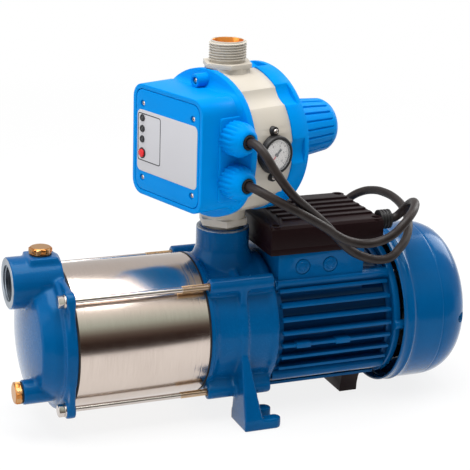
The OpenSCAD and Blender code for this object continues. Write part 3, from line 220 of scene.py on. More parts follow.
def copied(piece, name):
    other = piece.copy()
    other.data = piece.data.copy()
    other.name = name
    return link(other)


def copyNode(node, name):
    # a merged copy of a CAD node, free of the frame's own marks
    piece = copied(nodes[node], name)
    for mark in [k for k in piece.keys() if k.startswith("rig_")]:
        del piece[mark]
    piece.parent = None
    piece.matrix_world = plain
    piece.data.materials.clear()
    takeHold(piece)
    if piece.data.has_custom_normals:
        bpy.ops.mesh.customdata_custom_splitnormals_clear()
    edit(piece)
    bpy.ops.mesh.remove_doubles(threshold=0.000004)
    leaveEdit()
    return piece


def easeEdges(piece, width):
    # joins the flat faces, then rounds the sharp edges as a mould or a tool leaves them
    edit(piece)
    bpy.ops.mesh.dissolve_limited(angle_limit=math.radians(1))
    leaveEdit()
    roundSharp(piece, width, 2, 32, use_clamp_overlap=True, miter_outer="MITER_ARC")
    return smooth(piece, 40)


def combine(piece, tool, operation):
    modify(piece, "BOOLEAN", operation=operation, object=tool, solver="EXACT")
    bpy.data.objects.remove(tool)
    return piece


def twins(piece, places):
    # one copy of a template at each place, and the template goes
    made = [settle(copied(piece, piece.name), place) for place in places]
    bpy.data.objects.remove(piece)
    return made


def roundedLoop(name, width, height, corner, segments=7):
    # the outline of a plate with round corners
    piece = newPiece(name, bpy.ops.mesh.primitive_plane_add, size=1)
    piece.scale = (width * mm, height * mm, 1)
    settle(piece)
    edit(piece)
    bpy.ops.mesh.bevel(offset=corner * mm, segments=segments, affect="VERTICES")
    selectAll()
    bpy.ops.mesh.delete(type="ONLY_FACE")
    leaveEdit()
    return piece


def roundedPlate(name, loop, depth, matrix, edge=0.0, line=0.0):
    # a plate in its frame's XY, its back at 0 and its front's edge eased, or only the line round it
    piece = roundedLoop(name, *loop)
    edit(piece)
    bpy.ops.mesh.edge_face_add()
    selectAll()
    if line:
        bpy.ops.mesh.inset(thickness=line * mm)
        bpy.ops.mesh.delete(type="FACE")
        selectAll()
    extrude(0, 0, depth)
    leaveEdit()
    tidyMesh(piece)
    if line:
        return settle(piece, matrix)
    if edge:
        pick(piece, "FACE", lambda face: face.normal.z > 0.9)
        bpy.ops.mesh.bevel(offset=edge * mm, segments=3, affect="EDGES")
        leaveEdit()
    return smooth(settle(piece, matrix), 40)


def blockPiece(name, size, place, matrix=plain, ends=(1.0, 1.0)):
    # a bar along its frame's X, whose width is drawn in at its ends
    piece = newPiece(name, bpy.ops.mesh.primitive_cube_add, size=1)
    piece.scale = [side * mm for side in size]
    piece.location = [side * mm for side in place]
    settle(piece)
    for side, share in zip((-1, 1), ends):
        if share != 1.0:
            end = (place[0] + side * size[0] / 2) * mm
            pick(piece, "VERT", lambda vertex: abs(vertex.co.x - end) < 0.00001)
            grow(1, share, 1, (0, place[1] * mm, 0))
            leaveEdit()
    return settle(piece, matrix)


hexShape = {"flat": 0.475, "wide": 0.75, "slope": 30, "edge": 25, "sides": 72}


def hexHead(name, matrix, across, height, edge=0.25):
    # a hexagon whose corners are turned off, as on any bolt
    piece = settle(newPiece(name, bpy.ops.mesh.primitive_cylinder_add, vertices=6, depth=height * mm,
                            radius=across / math.sqrt(3) * mm, location=(0, 0, height / 2 * mm)))
    flat, wide = across * hexShape["flat"], across * hexShape["wide"]
    slope = math.tan(math.radians(hexShape["slope"]))
    cone = [(0, -height), (wide, -height), (wide, height - (wide - flat) * slope), (0, height + flat * slope)]
    combine(piece, turnPiece("cone", cone, plain, hexShape["sides"]), "INTERSECT")
    roundSharp(piece, edge, 2, hexShape["edge"])
    return smooth(settle(piece, matrix), 35)


def numeral(name, text, size, thick, matrix):
    piece = newPiece(name, bpy.ops.object.text_add)
    piece.data.body = text
    piece.data.size = size * mm
    piece.data.align_x = "CENTER"
    piece.data.align_y = "CENTER"
    piece.data.extrude = thick * mm
    takeHold(piece)
    bpy.ops.object.convert(target="MESH")
    return settle(bpy.context.object, matrix)


# a head of 1 mm radius with a cross in it
screwShape = {
    "head": [(0, -0.3), (1, -0.3), (1, 0.22), (0.94, 0.36), (0.76, 0.5), (0.4, 0.6), (0, 0.62)],
    "sides": 40, "bar": (1.3, 0.26, 2), "barHeight": 1.2, "turn": 20,
}


def makeScrewTemplate():
    head = turnPiece("screwTemplate", screwShape["head"], plain, screwShape["sides"], 40)
    bars = [blockPiece("crossBar", screwShape["bar"], (0, 0, screwShape["barHeight"]), turned(turn))
            for turn in (0, 90)]
    for bar in bars:
        combine(head, bar, "DIFFERENCE")
    return smooth(head, 40)


def placeScrew(name, matrix, radius, turn=screwShape["turn"]):
    return settle(copied(screwTemplate, name), matrix @ turned(turn) @ Matrix.Scale(radius, 4))


makeCamera()
print("stage: camera")
screwTemplate = makeScrewTemplate()


# finishes
class Wire:
    # one socket of a finish's node tree, on which sums add Math nodes
    def __init__(self, tree, socket=None):
        self.tree = tree
        self.socket = socket

    def node(self, kind, sockets=None, output=0, **settings):
        made = self.tree.nodes.new("ShaderNode" + kind)
        for name, value in settings.items():
            setattr(made, name, value)
        for place, value in (sockets or {}).items():
            if isinstance(value, Wire):
                self.tree.links.new(value.socket, made.inputs[place])
            else:
                made.inputs[place].default_value = value
        return Wire(self.tree, made.outputs[output] if made.outputs else None)

    def math(self, operation, *values):
        return self.node("Math", dict(enumerate(values)), operation=operation)

    def limited(self):
        return self.math("MINIMUM", self.math("MAXIMUM", self, 0.0), 1.0)

    def above(self, edge, spread):
        # 0 below the edge and 1 past it, with a soft step of that spread
        return ((self - (edge - spread / 2)) / spread).limited()

    def mix(self, below, over):
        # the wire chooses between two colours
        return self.node("Mix", {0: self, 6: below, 7: over}, 2, data_type="RGBA")

    def grain(self, scale, detail=2.0, rough=0.5):
        return self.node("TexNoise", {"Vector": self, "Scale": scale, "Detail": detail, "Roughness": rough})

    def bump(self, depth):
        return self.node("Bump", {"Height": self, "Distance": depth, "Strength": 1.0})

    def axis(self, letter):
        return self.node("SeparateXYZ", {0: self}, letter)


def sign(operation, swapped=False):
    # what a sign does between wires: it adds the Math node of its operation
    return lambda wire, other: wire.math(operation, *((other, wire) if swapped else (wire, other)))


Wire.__add__, Wire.__radd__ = sign("ADD"), sign("ADD", True)
Wire.__sub__, Wire.__rsub__ = sign("SUBTRACT"), sign("SUBTRACT", True)
Wire.__mul__, Wire.__rmul__ = sign("MULTIPLY"), sign("MULTIPLY", True)
Wire.__truediv__, Wire.__pow__ = sign("DIVIDE"), sign("POWER")


def colour(red, green, blue):
    # a colour as it is seen, made linear for the shader
    def linear(value):
        value = value / 255
        return value / 12.92 if value <= 0.04045 else ((value + 0.055) / 1.055) ** 2.4
    return linear(red), linear(green), linear(blue), 1.0


def startFinish(name):
    material = bpy.data.materials.new(name)
    material.use_nodes = True
    material.node_tree.nodes.clear()
    start = Wire(material.node_tree)
    start.material = material
    return start, start.node("TexCoord", output="Object")


def surface(start, sockets, kind="BsdfPrincipled"):
    start.node("OutputMaterial", {"Surface": start.node(kind, sockets)})
    return start.material


def around(middle, *parts):
    # a value that each (share, wire) moves up and down
    for share, wire in parts:
        middle = middle + share * (wire - 0.5)
    return middle.limited()


white = (1, 1, 1, 1)
# the darkest blue here is painted shade, for deep between the motor's fins
enamelPaint = {
    "colour": colour(0, 79, 134), "thin": colour(0, 91, 148), "deep": colour(0, 61, 112),
    "paintedFinShade": colour(0, 26, 66), "tint": (0.0, 0.6, 1.0, 1.0), "cloud": (22.0, 3.0), "cloudEdge": (0.5, 0.5),
    "skin": (420.0, 3.0, 0.6), "peel": (1500.0, 1.0), "plainFrom": 0.55, "plainShare": 0.3,
    "skinRough": 0.1, "cloudRough": 0.08, "peelDeep": 0.15, "gloss": 0.15,
    "coat": 0.8, "coatIndex": 1.2, "coatRoughness": 0.16,
}


def makeEnamel(name, castDepth, roughness, paintedShadeRadii=None):
    # the two given radii from the shaft: inside the inner one the paint is darkened as painted shade deep
    # between the motor's fins, and by the outer one it is plain paint again
    paint = enamelPaint
    start, place = startFinish(name)
    cloud, skin, peel = (place.grain(*paint[key]) for key in ("cloud", "skin", "peel"))
    tone = cloud.above(*paint["cloudEdge"]).mix(paint["deep"], paint["thin"])
    base = (paint["plainFrom"] + paint["plainShare"] * skin).mix(tone, paint["colour"])
    # painted shade: the paint darkens towards the shaft, where shade falls between the fins
    if paintedShadeRadii:
        across = place.axis("Y")
        rise = place.axis("Z") - layout["shaftHeight"] * mm
        away = (across * across + rise * rise) ** 0.5
        inner, outer = (radius * mm for radius in paintedShadeRadii)
        base = ((away - inner) / (outer - inner)).limited().mix(paint["paintedFinShade"], base)
    return surface(start, {
        "Base Color": base,
        "Roughness": around(roughness, (paint["skinRough"], skin), (paint["cloudRough"], cloud)),
        "Specular IOR Level": paint["gloss"],
        "Specular Tint": paint["tint"],
        "Coat Weight": paint["coat"],
        "Coat IOR": paint["coatIndex"],
        "Coat Roughness": paint["coatRoughness"],
        "Normal": (skin + paint["peelDeep"] * peel).bump(castDepth),
    })


shellSteel = {
    "bright": colour(222, 208, 198), "dull": colour(196, 182, 172), "roughness": 0.2,
    "stretch": (1.0, 0.02, 0.02), "brush": (2600.0, 3.0, 0.7), "waves": (260.0,), "cloud": (16.0, 3.0),
    "brushDull": 0.55, "cloudDull": 0.45, "dullEdge": (0.5, 0.7), "brushRough": 0.14, "cloudRough": 0.12,
    "lines": (-40.5, -46, -145.5), "lineWidth": 0.7, "lineDeep": 4.0, "wavesDeep": 0.6, "depth": 0.000012,
}


def makeShellSteel(name):
    # drawn stainless tube, polished round its axis: the marks run round and are fine along X
    steel = shellSteel
    start, place = startFinish(name)
    stretched = start.node("Mapping", {"Vector": place, "Scale": steel["stretch"]})
    brush, waves = (stretched.grain(*steel[key]) for key in ("brush", "waves"))
    cloud = place.grain(*steel["cloud"])
    along = place.axis("X")
    lines = 0.0
    for station in steel["lines"]:
        gap = along.math("ABSOLUTE", along - spot(station, 0, 0).x) / (steel["lineWidth"] * mm)
        lines = lines + (1.0 - gap).limited()
    dull = (steel["brushDull"] * brush + steel["cloudDull"] * cloud).above(*steel["dullEdge"])
    return surface(start, {
        "Base Color": dull.mix(steel["bright"], steel["dull"]),
        "Metallic": 1.0,
        "Roughness": around(steel["roughness"], (steel["brushRough"], brush), (steel["cloudRough"], cloud)),
        "Normal": (brush + steel["wavesDeep"] * waves - steel["lineDeep"] * lines).bump(steel["depth"]),
    })


gaugeGlass = {
    "tint": (0.96, 0.98, 1.0, 1.0), "smear": 70.0, "roughness": 0.03, "smearRough": 0.03,
    "cover": 0.12, "smearCover": 0.04, "index": 1.5,
}


def makeGlass(name):
    glass = gaugeGlass
    start, place = startFinish(name)
    smear = place.grain(glass["smear"])
    return surface(start, {
        "Base Color": glass["tint"],
        "Roughness": glass["roughness"] + glass["smearRough"] * smear,
        "Alpha": glass["cover"] + glass["smearCover"] * smear,
        "IOR": glass["index"],
    })


# each kind's wide and fine grain, and how much of the one, of the other and of plain goes into its
# second shade. Moulded plastic has a spark-eroded grain, and flow marks that barely show
kinds = {
    "any": {"metal": 0.0, "index": 1.5, "gloss": 0.5, "tint": white},
    "plastic": {"wide": (14.0,), "fine": (1400.0,), "second": (0.7, 0.0, 0.1), "wideRough": 0.06,
                "fineRough": 0.12, "depth": 0.00004, "index": 1.46, "gloss": 0.4},
    "metal": {"wide": (60.0, 4.0), "fine": (260.0, 3.0), "second": (0.8, 0.1, 0.0), "wideRough": 0.22,
              "fineRough": 0.1, "depth": 0.00003, "metal": 1.0},
    "rubber": {"wide": (90.0, 4.0), "fine": (1800.0,), "second": (2.5, 0.0, -1.05), "wideRough": 0.2,
               "fineRough": 0.0, "depth": 0.00005, "gloss": 0.28},
    "dial": {"wide": (500.0,), "fine": (500.0,), "second": (1.667, 0.0, -0.333), "wideRough": 0.1,
             "fineRough": 0.0, "depth": 0.00001},
}


def makeKind(name, kind, shade, second, roughness, own=()):
    values = {**kinds["any"], **kinds[kind], **dict(own)}
    start, place = startFinish(name)
    wide, fine = (place.grain(*values[key]) for key in ("wide", "fine"))
    wideShare, fineShare, plainShare = values["second"]
    share = (wide * wideShare + fine * fineShare + plainShare).limited()
    return surface(start, {
        "Base Color": share.mix(colour(*shade), colour(*second)),
        "Metallic": values["metal"],
        "Roughness": around(roughness, (values["wideRough"], wide), (values["fineRough"], fine)),
        "IOR": values["index"],
        "Specular IOR Level": values["gloss"],
        "Specular Tint": values["tint"],
        "Normal": fine.bump(values["depth"]),
    })


# for each kind: the finish, its slot and its values, which are mostly two shades, the roughness and
# what is its own
finishes = {
    "enamel": [
        ("castEnamel", "blue_enamel", 0.00022, 0.26),
        # the housing's two radii fade the painted shade between its fins into plain paint
        ("housingEnamel", "blue_enamel_aluminium", 0.00012, 0.24, (55, 64.5)),
        ("sheetEnamel", "blue_sheet", 0.00006, 0.2),
    ],
    "plastic": [
        ("controllerBlue", "bright_blue_plastic", (0, 138, 220), (0, 124, 204), 0.38,
         {"gloss": 0.07, "tint": (0.0, 0.85, 1.0, 1.0)}),
        ("controllerGrey", "grey_plastic", (196, 189, 176), (180, 172, 160), 0.42),
        ("boxBlack", "black_plastic", (28, 10, 12), (22, 7, 9), 0.45,
         {"fine": (900.0,), "depth": 0.00006, "gloss": 0.14}),
        ("darkPlastic", "black_plastic", (30, 28, 29), (22, 21, 22), 0.4),
        ("silverLabel", "label_silver", (192, 192, 196), (182, 182, 187), 0.34,
         {"fine": (2200.0,), "depth": 0.00001}),
        ("lineBlack", "black_plastic", (34, 34, 38), (26, 26, 30), 0.5),
        ("needleBlack", "needle_black", (30, 28, 30), (22, 20, 22), 0.45),
        ("needleRed", "needle_black", (196, 28, 30), (170, 22, 26), 0.4),
        ("lightDark", "dark_lens", (52, 54, 58), (38, 40, 44), 0.16),
        ("buttonRed", "red_plastic", (222, 30, 38), (202, 22, 30), 0.3),
        ("ceramic", None, (228, 226, 216), (214, 210, 200), 0.4),
        ("boardGreen", None, (24, 96, 52), (18, 82, 44), 0.4),
    ],
    "rubber": [
        ("cableRubber", "cable_black", (30, 22, 20), (46, 37, 34), 0.44),
        ("gasketRubber", "black_rubber", (24, 22, 22), (44, 42, 42), 0.62),
    ],
    "metal": [
        ("brightSteel", "zinc_steel", (222, 214, 208), (176, 166, 160), 0.22),
        ("yellowZinc", "zinc_steel", (226, 196, 146), (190, 156, 108), 0.3),
        ("brass", "brass", (206, 138, 74), (168, 102, 50), 0.28),
        ("orangeBrass", "brass", (236, 156, 76), (204, 122, 54), 0.3),
        ("turnedIron", "blue_enamel", (168, 176, 184), (128, 138, 148), 0.36),
        ("copper", None, (200, 112, 70), (150, 78, 48), 0.35),
        ("lamination", None, (120, 120, 124), (88, 88, 92), 0.45),
    ],
    "dial": [("dialPlate", "dial_white", (236, 232, 228), (226, 220, 216), 0.45)],
    "steel": [("polishedStainless", "stainless_shell")],
    "glass": [("gaugeGlass", None)],
}
makers = {"enamel": makeEnamel, "steel": makeShellSteel, "glass": makeGlass}
finish, slots = {}, {}
for kind, rows in finishes.items():
    for name, slot, *values in rows:
        finish[name] = makers[kind](name, *values) if kind in makers else makeKind(name, kind, *values)
        slots[name] = slot


def dress(piece, material):
    piece.data.materials.clear()
    piece.data.materials.append(finish[material])


def present(piece, material, *replaced, body="pump"):
    dress(piece, material)
    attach(piece, body)
    if replaced:
        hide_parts(*replaced)
    return piece


print("stage: finishes")

# cables: the same routes as the part's own, in stations and heights
motorCable = {
    "diameter": 8, "length": 0.272,
    "route": [
        (-9.9, -80.4, 228), (-7.5, -88, 228), (-3, -97, 226), (6, -103, 221), (20, -104.6, 213),
        (37, -103, 203), (56, -99, 191), (70, -95, 181), (84, -92, 174), (98, -92, 171),
        (111, -95, 173), (122, -98, 179), (131, -98, 187), (141, -92, 193), (150, -82, 196),
        (157, -70, 197), (161, -57, 194), (162, -47, 188), (160, -40, 180), (155, -38, 175),
        (149.5, -38, 174),
    ],
}
mainsCable = {
    "diameter": 8, "length": 1.37,
    "route": [
        (-9.9, -80.4, 266), (-7.5, -88, 266), (-4, -97, 261), (4, -103, 247), (20, -103, 226),
        (40, -97, 208), (60, -88, 191), (76, -82, 175), (90, -78, 162), (106, -76, 153),
        (122, -75, 148.5), (134, -73, 149), (145, -67, 153.5), (158, -56, 160), (169, -38, 169),
        (175, -18, 175), (177, 4, 179), (175, 24, 180), (171, 41, 178), (165, 54, 173),
        (158, 65, 164), (150, 75, 150), (141, 84, 131), (131, 91, 108), (122, 97, 82),
        (113, 102, 57), (105, 108, 36), (99, 118, 18), (96, 131, 7.4), (96, 147, 4.2), (96, 157, 4.2),
    ],
    "coilMiddle": (148, 165), "coilRadius": 52, "coilTurns": 2.5, "stepsPerTurn": 24,
    "turnStep": 8.9, "layerStep": 8.6, "coilLift": 4.1,
    "tail": [(200, 156, 12.6), (200, 135, 18.5), (200, 126, 18.5)],
}


def coilPlaces(cable):
    # the coil winds in on the floor, climbs one layer where it turns back, and winds out
    count = int(cable["coilTurns"] * cable["stepsPerTurn"])
    fall = cable["turnStep"] * cable["coilTurns"] / 2
    middleX, middleY = cable["coilMiddle"]
    places = []
    for i in range(count + 1):
        share = i / count
        angle = math.radians(180 - 360 * i / cable["stepsPerTurn"])
        radius = cable["coilRadius"] - fall * (1 - abs(1 - 2 * share))
        climb = min(1, max(0, (i - count / 2) / (cable["stepsPerTurn"] / 2) + 0.5))
        places.append((middleX + radius * math.cos(angle), middleY + radius * math.sin(angle),
                       cable["coilLift"] + cable["layerStep"] * climb))
    return places


def makeCable(name, places, diameter, *replaced):
    letGo()
    curve = bpy.data.curves.new(name, "CURVE")
    curve.dimensions = "3D"
    curve.resolution_u = 6
    curve.bevel_depth = diameter / 2 * mm
    curve.bevel_resolution = 5
    curve.use_fill_caps = True
    line = curve.splines.new("BEZIER")
    line.bezier_points.add(len(places) - 1)
    for point, place in zip(line.bezier_points, places):
        point.co = spot(*place)
        point.handle_left_type = point.handle_right_type = "AUTO"
    return present(link(bpy.data.objects.new(name, curve)), "cableRubber", *replaced)


motorLead = makeCable("motorLead", motorCable["route"], motorCable["diameter"], "motor_cable")
mainsLead = makeCable("mainsLead", mainsCable["route"] + coilPlaces(mainsCable) + mainsCable["tail"],
                      mainsCable["diameter"], "mains_cable", "mains_coil")
print("stage: cables")

plug = {
    "place": (200, 126, 18.5), "sides": 64,
    "profile": [(0, 0), (4.6, 0), (5.2, 1), (5.2, 4), (6.2, 5), (6.2, 8), (7.4, 9), (7.4, 12), (9.2, 13),
                (9.6, 16), (14.6, 19), (15.2, 22), (16.2, 34), (17.2, 44), (18.4, 48), (18.4, 51), (17.6, 52),
                (0, 52)],
    "pin": [(0, 50), (2.4, 50), (2.4, 67.5), (1.6, 69), (0, 69)], "pinApart": 9.5, "pinSides": 32,
}
tie = {"farLeg": 210, "drawnIn": 2.3, "edge": 0.4}


def makePlug():
    matrix = frameAt(*plug["place"]) @ nearSide
    body = turnPiece("mainsPlugBody", plug["profile"], matrix, plug["sides"])
    present(body, "cableRubber", "mains_plug")
    pins = [turnPiece("plugPin", plug["pin"], shift(0, 0, side * plug["pinApart"]) @ matrix, plug["pinSides"])
            for side in (-1, 1)]
    return body, present(joinPieces("mainsPlugPins", pins), "brightSteel")


def makeTie():
    # its outer leg is drawn in to the winding that it holds
    piece = copyNode("cable_tie", "coilTie")
    pick(piece, "VERT", lambda vertex: vertex.co.y > tie["farLeg"] * mm)
    bpy.ops.transform.translate(value=(0, -tie["drawnIn"] * mm, 0))
    leaveEdit()
    return present(easeEdges(piece, tie["edge"]), "darkPlastic", "cable_tie")


plugBody, plugPins = makePlug()
coilTie = makeTie()
print("stage: plug and tie")

# turned and helical pieces
threadShape = {"foot": 0.25, "flanks": (0.12, 0.4, 0.6, 0.88)}


def threadPiece(name, matrix, size, steps=64):
    # one ridge of the thread, wound up the Z of its frame and tapered off at both ends
    crest, root, pitch, start = size["crest"], size["root"], size["pitch"], size["start"]
    turns = size["turns"]
    deep = root + (threadShape["foot"] if root > crest else -threadShape["foot"])
    ridge = [(radius, start + share * pitch)
             for radius, share in zip((deep, crest, crest, deep), threadShape["flanks"])]
    piece = drawLine(name, closed(ridge))
    edit(piece)
    bpy.ops.mesh.remove_doubles(threshold=0.000001)
    leaveEdit()
    modify(piece, "SCREW", axis="Z", angle=math.tau * turns, screw_offset=pitch * turns * mm,
           steps=int(steps * turns), render_steps=int(steps * turns), use_merge_vertices=False,
           use_smooth_shade=True)
    edit(piece, action="DESELECT")
    bpy.ops.mesh.select_mode(type="EDGE")
    bpy.ops.mesh.select_non_manifold(extend=False)
    bpy.ops.mesh.merge(type="COLLAPSE")
    selectAll()
    bpy.ops.mesh.normals_make_consistent(inside=False)
    leaveEdit()
    return smooth(settle(piece, matrix), 30)


suctionMouth = {
    "height": 133.5, "pitch": 2.31, "turns": 8, "start": -198.7, "crest": 15.15, "root": 16.0,
    "profile": [(16.0, -199.1), (16.5, -199.5), (21.9, -199.5), (22.3, -199.1), (22.3, -190), (16.0, -178)],
    "boreEnd": -178, "boreRadius": 17.4, "boreGrow": 1.14,
}
outletMouth = {
    "profile": [(15.4, 169.3), (15.9, 169.9), (23.4, 169.9), (23.8, 169.5), (23.8, 166), (15.4, 160)],
}


def makeMouths():
    matrix = frameAt(0, 0, suctionMouth["height"]) @ alongX
    ring = turnPiece("suctionRing", closed(suctionMouth["profile"]), matrix)
    thread = threadPiece("suctionThread", matrix, suctionMouth)
    present(joinPieces("suctionMouth", [ring, thread]), "turnedIron")
    present(turnPiece("outletMouth", closed(outletMouth["profile"]), pumpFrame), "turnedIron")


makeMouths()

plugs = {
    "filler": ((-169.7, 0, 157.5), 0), "drain": ((-195.5, -30, 43), -90), "sides": 72,
    "washer": [(0, 0), (9.4, 0), (9.7, 0.4), (9.7, 1.1), (9.4, 1.5), (0, 1.5)],
    "rim": [(0, 1.5), (9.3, 1.5), (9.5, 1.8), (9.4, 2.5), (0, 2.5)],
    "headFrom": 2.3, "headTurn": 12, "across": 18, "headHeight": 4.6, "edge": 0.35,
}


def makePlugs():
    size = plugs
    for name in ("filler", "drain"):
        place, tilt = size[name]
        matrix = frameAt(*place) @ turned(tilt, "Y")
        present(turnPiece(name + "Seal", size["washer"], matrix, size["sides"]), "gasketRubber")
        head = hexHead(name + "Head", matrix @ shift(0, 0, size["headFrom"]) @ turned(size["headTurn"]),
                       size["across"], size["headHeight"], size["edge"])
        rim = turnPiece("rim", size["rim"], matrix, size["sides"])
        present(joinPieces(name + "Plug", [rim, head]), "brass")


makePlugs()

tieBolt = {
    "spread": 49.85, "crest": 3.0, "root": 2.45, "pitch": 1.0, "turns": 26, "start": -57, "threadSteps": 20,
    "shank": [(0, -163), (2.5, -163), (2.5, -57), (2.45, -56.4), (2.45, -29), (0, -29)], "shankSides": 32,
    "washer": [(0, -161.9), (6.2, -161.9), (6.2, -162.8), (5.8, -163.1), (0, -163.1)], "washerSides": 48,
    "headFrom": -163, "headHeight": 5.6, "across": 10,
}


def makeTieBolts():
    size = tieBolt
    inX = pumpFrame @ alongX
    shank = turnPiece("shank", size["shank"], inX, size["shankSides"])
    washer = turnPiece("washer", size["washer"], inX, size["washerSides"])
    head = hexHead("head", inX @ shift(0, 0, size["headFrom"]) @ turned(180, "X"),
                   size["across"], size["headHeight"])
    bolt = joinPieces("tieBolt", [shank, washer, head])
    thread = threadPiece("tieThread", inX, size, size["threadSteps"])
    places = [shift(0, side * size["spread"], layout["shaftHeight"] + lift * size["spread"])
              for side in (-1, 1) for lift in (-1, 1)]
    present(joinPieces("tieBolts", twins(bolt, places)), "brightSteel", "tie_bolts")
    present(joinPieces("tieThreads", twins(thread, places)), "yellowZinc")


makeTieBolts()

gasket = {
    "faces": ((-1, -152), (1, -34)), "sides": 160,
    "profile": [(60, -0.15), (63.9, -0.15), (64.3, 0.35), (64.3, 1.2), (64.0, 1.65), (60, 1.65)],
}


def makeGaskets():
    rings = []
    for way, station in gasket["faces"]:
        profile = [(radius, station + way * height) for radius, height in gasket["profile"]]
        rings.append(turnPiece("gasket", closed(profile), shaftLine, gasket["sides"]))
    present(joinPieces("shellGaskets", rings), "gasketRubber", "shell_gaskets")


makeGaskets()
print("stage: mouths, plugs, bolts and gaskets")

fanCover = {
    "front": 152, "straight": 42, "rise": 30, "radius": 74.4, "grille": 50, "wall": 1.7, "around": 216,
    "lip": [(-0.9, 0.1), (0.1, 0), (0.7, 0.5), (0.8, 1.6), (0.4, 2.6), (0, 3.3)],
    "bead": [(0, 7.6), (0.4, 8.3), (1.1, 9.1), (1.4, 10), (1.1, 10.9), (0.4, 11.7), (0, 12.4)],
    "side": (12.4, 27, 7), "crease": [(0, 40.2), (-0.35, 41.1), (-0.15, 42)], "creaseIn": 0.15, "steps": 24,
    "post": 65, "pocket": [(0, 200.75), (5, 200.75), (5, 242.75), (0, 242.75)], "pocketSides": 48,
    "grilleKept": 50.15, "cupKept": 7.1, "cupTilt": (0.1, 0.95), "rear": 221, "cupRear": 222,
}


def makeFanCover():
    size = fanCover
    front, wide, grille = size["front"], size["radius"], size["grille"]
    sideFrom, sideLength, sideSteps = size["side"]
    outline = size["lip"] + size["bead"]
    outline += [(0, sideFrom + sideLength * i / sideSteps) for i in range(1, sideSteps + 1)] + size["crease"]
    for i in range(1, size["steps"] + 1):
        angle = math.radians(90 * i / size["steps"])
        outline.append((grille - wide + (wide - size["creaseIn"] - grille) * math.cos(angle),
                        size["straight"] + size["rise"] * math.sin(angle)))
    cover = turnPiece("fanCover", [(wide + r, front + h) for r, h in outline], shaftLine, size["around"])
    modify(cover, "SOLIDIFY", thickness=size["wall"] * mm, offset=-1)
    middleHeight = layout["shaftHeight"]
    posts = [(y * size["post"], middleHeight + z * size["post"])
             for y, z in ((0, 1), (1, 0), (0, -1), (-1, 0))]
    for y, z in posts:
        drill = turnPiece("drill", size["pocket"], frameAt(0, y, z) @ alongX, size["pocketSides"])
        combine(cover, drill, "DIFFERENCE")
    smooth(cover, 30)
    rear, cupRear = (spot(size[key], 0, 0).x for key in ("rear", "cupRear"))
    low, high = size["cupTilt"]

    def unwanted(face):
        # all but the grille and the cups round the screws
        x, y, z = face.center
        tilt = abs(face.normal.x)
        if x > rear and math.hypot(y / mm, z / mm - middleHeight) < size["grilleKept"]:
            return False
        nearest = min(math.hypot(y / mm - postY, z / mm - postZ) for postY, postZ in posts)
        return not (nearest < size["cupKept"] and (tilt < low or tilt > high) and x < cupRear)
    kept = copyNode("fan_cover", "fanGrille")
    pick(kept, "FACE", unwanted)
    bpy.ops.mesh.delete(type="FACE")
    leaveEdit()
    smooth(kept, 20)
    present(joinPieces("fanCover", [cover, kept]), "sheetEnamel", "fan_cover")


makeFanCover()
print("stage: fan cover")

# the controller: its front turns to the lower left of the picture
housing = {
    "front": 64.8, "width": 100.6, "height": 99.8, "lift": 0.9, "corner": 13, "cuts": 11, "draft": 1.012,
    "boxEnd": 30, "roundEnd": 23.5, "rear": 17.5, "radius": 66.2, "sphere": 57.2, "flare": 0.995, "rings": 10,
    "rim": 4.2, "recess": 1.7, "edge": 0.9, "back": 0.9,
    "lug": [(0, 18), (6.3, 18), (6.1, 34.9), (5.6, 35.8), (3.5, 35.9), (3.1, 35.5), (3.0, 32.6), (0, 32.6)],
    "lugHeight": 57, "lugScrew": (33.2, 2.8), "lugSides": 48,
    "pad": (28, 74, 3.5), "padPlace": (-33.5, -2, 40), "padDeep": 12.4, "padEdge": 1.2,
}


def makeFrontHousing():
    size = housing
    front = controllerFrame @ frontSide
    piece = roundedLoop("frontHousing", size["width"], size["height"], size["corner"])

    def straight(edge):
        a, b = (piece.data.vertices[i].co for i in edge.vertices)
        return (a - b).length > size["corner"] * mm
    pick(piece, "EDGE", straight)
    bpy.ops.mesh.subdivide(number_cuts=size["cuts"])
    edit(piece)
    bpy.ops.transform.translate(value=(0, size["lift"] * mm, size["front"] * mm))
    extrude(0, 0, size["boxEnd"] - size["front"])
    grow(size["draft"], size["draft"], 1)
    # the flare: each ring is rounder and wider than the last, until it is the cover's circle
    reach = size["radius"] / size["sphere"] - 1
    last, lastShare, drop = size["boxEnd"], 0.0, -size["lift"]
    for ring in range(1, size["rings"] + 1):
        part = ring / size["rings"]
        share = 1 - math.sqrt(1 - (size["flare"] * part) ** 2)
        height = size["boxEnd"] + (size["roundEnd"] - size["boxEnd"]) * part
        wider = (1 + reach * share) / (1 + reach * lastShare)
        extrude(0, drop, height - last)
        bpy.ops.transform.tosphere(value=(share - lastShare) / (1 - lastShare))
        grow(wider, wider, 1)
        last, lastShare, drop = height, share, 0
    extrude(0, 0, size["rear"] - last)
    extrude(0, 0, 0)
    grow(size["back"], size["back"], 1)
    bpy.ops.mesh.edge_face_add()
    leaveEdit()
    pick(piece, "VERT", lambda vertex: abs(vertex.co.z / mm - size["front"]) < 0.001)
    bpy.ops.mesh.edge_face_add()
    leaveEdit()
    tidyMesh(piece)
    pick(piece, "FACE", lambda face: face.center.z / mm > size["front"] - 0.001 and face.normal.z > 0.9)
    bpy.ops.mesh.inset(thickness=size["rim"] * mm)
    extrude(0, 0, -size["recess"])
    leaveEdit()
    roundSharp(piece, size["edge"], 3, 50)
    smooth(settle(piece, front), 38)
    lug = turnPiece("lug", closed(size["lug"]), front @ shift(0, size["lugHeight"], 0), size["lugSides"])
    pad = roundedPlate("glandPad", size["pad"], size["padDeep"],
                       controllerFrame @ nearSide @ shift(*size["padPlace"]), size["padEdge"])
    present(joinPieces("frontHousing", [piece, lug, pad]), "controllerBlue", "front_housing")


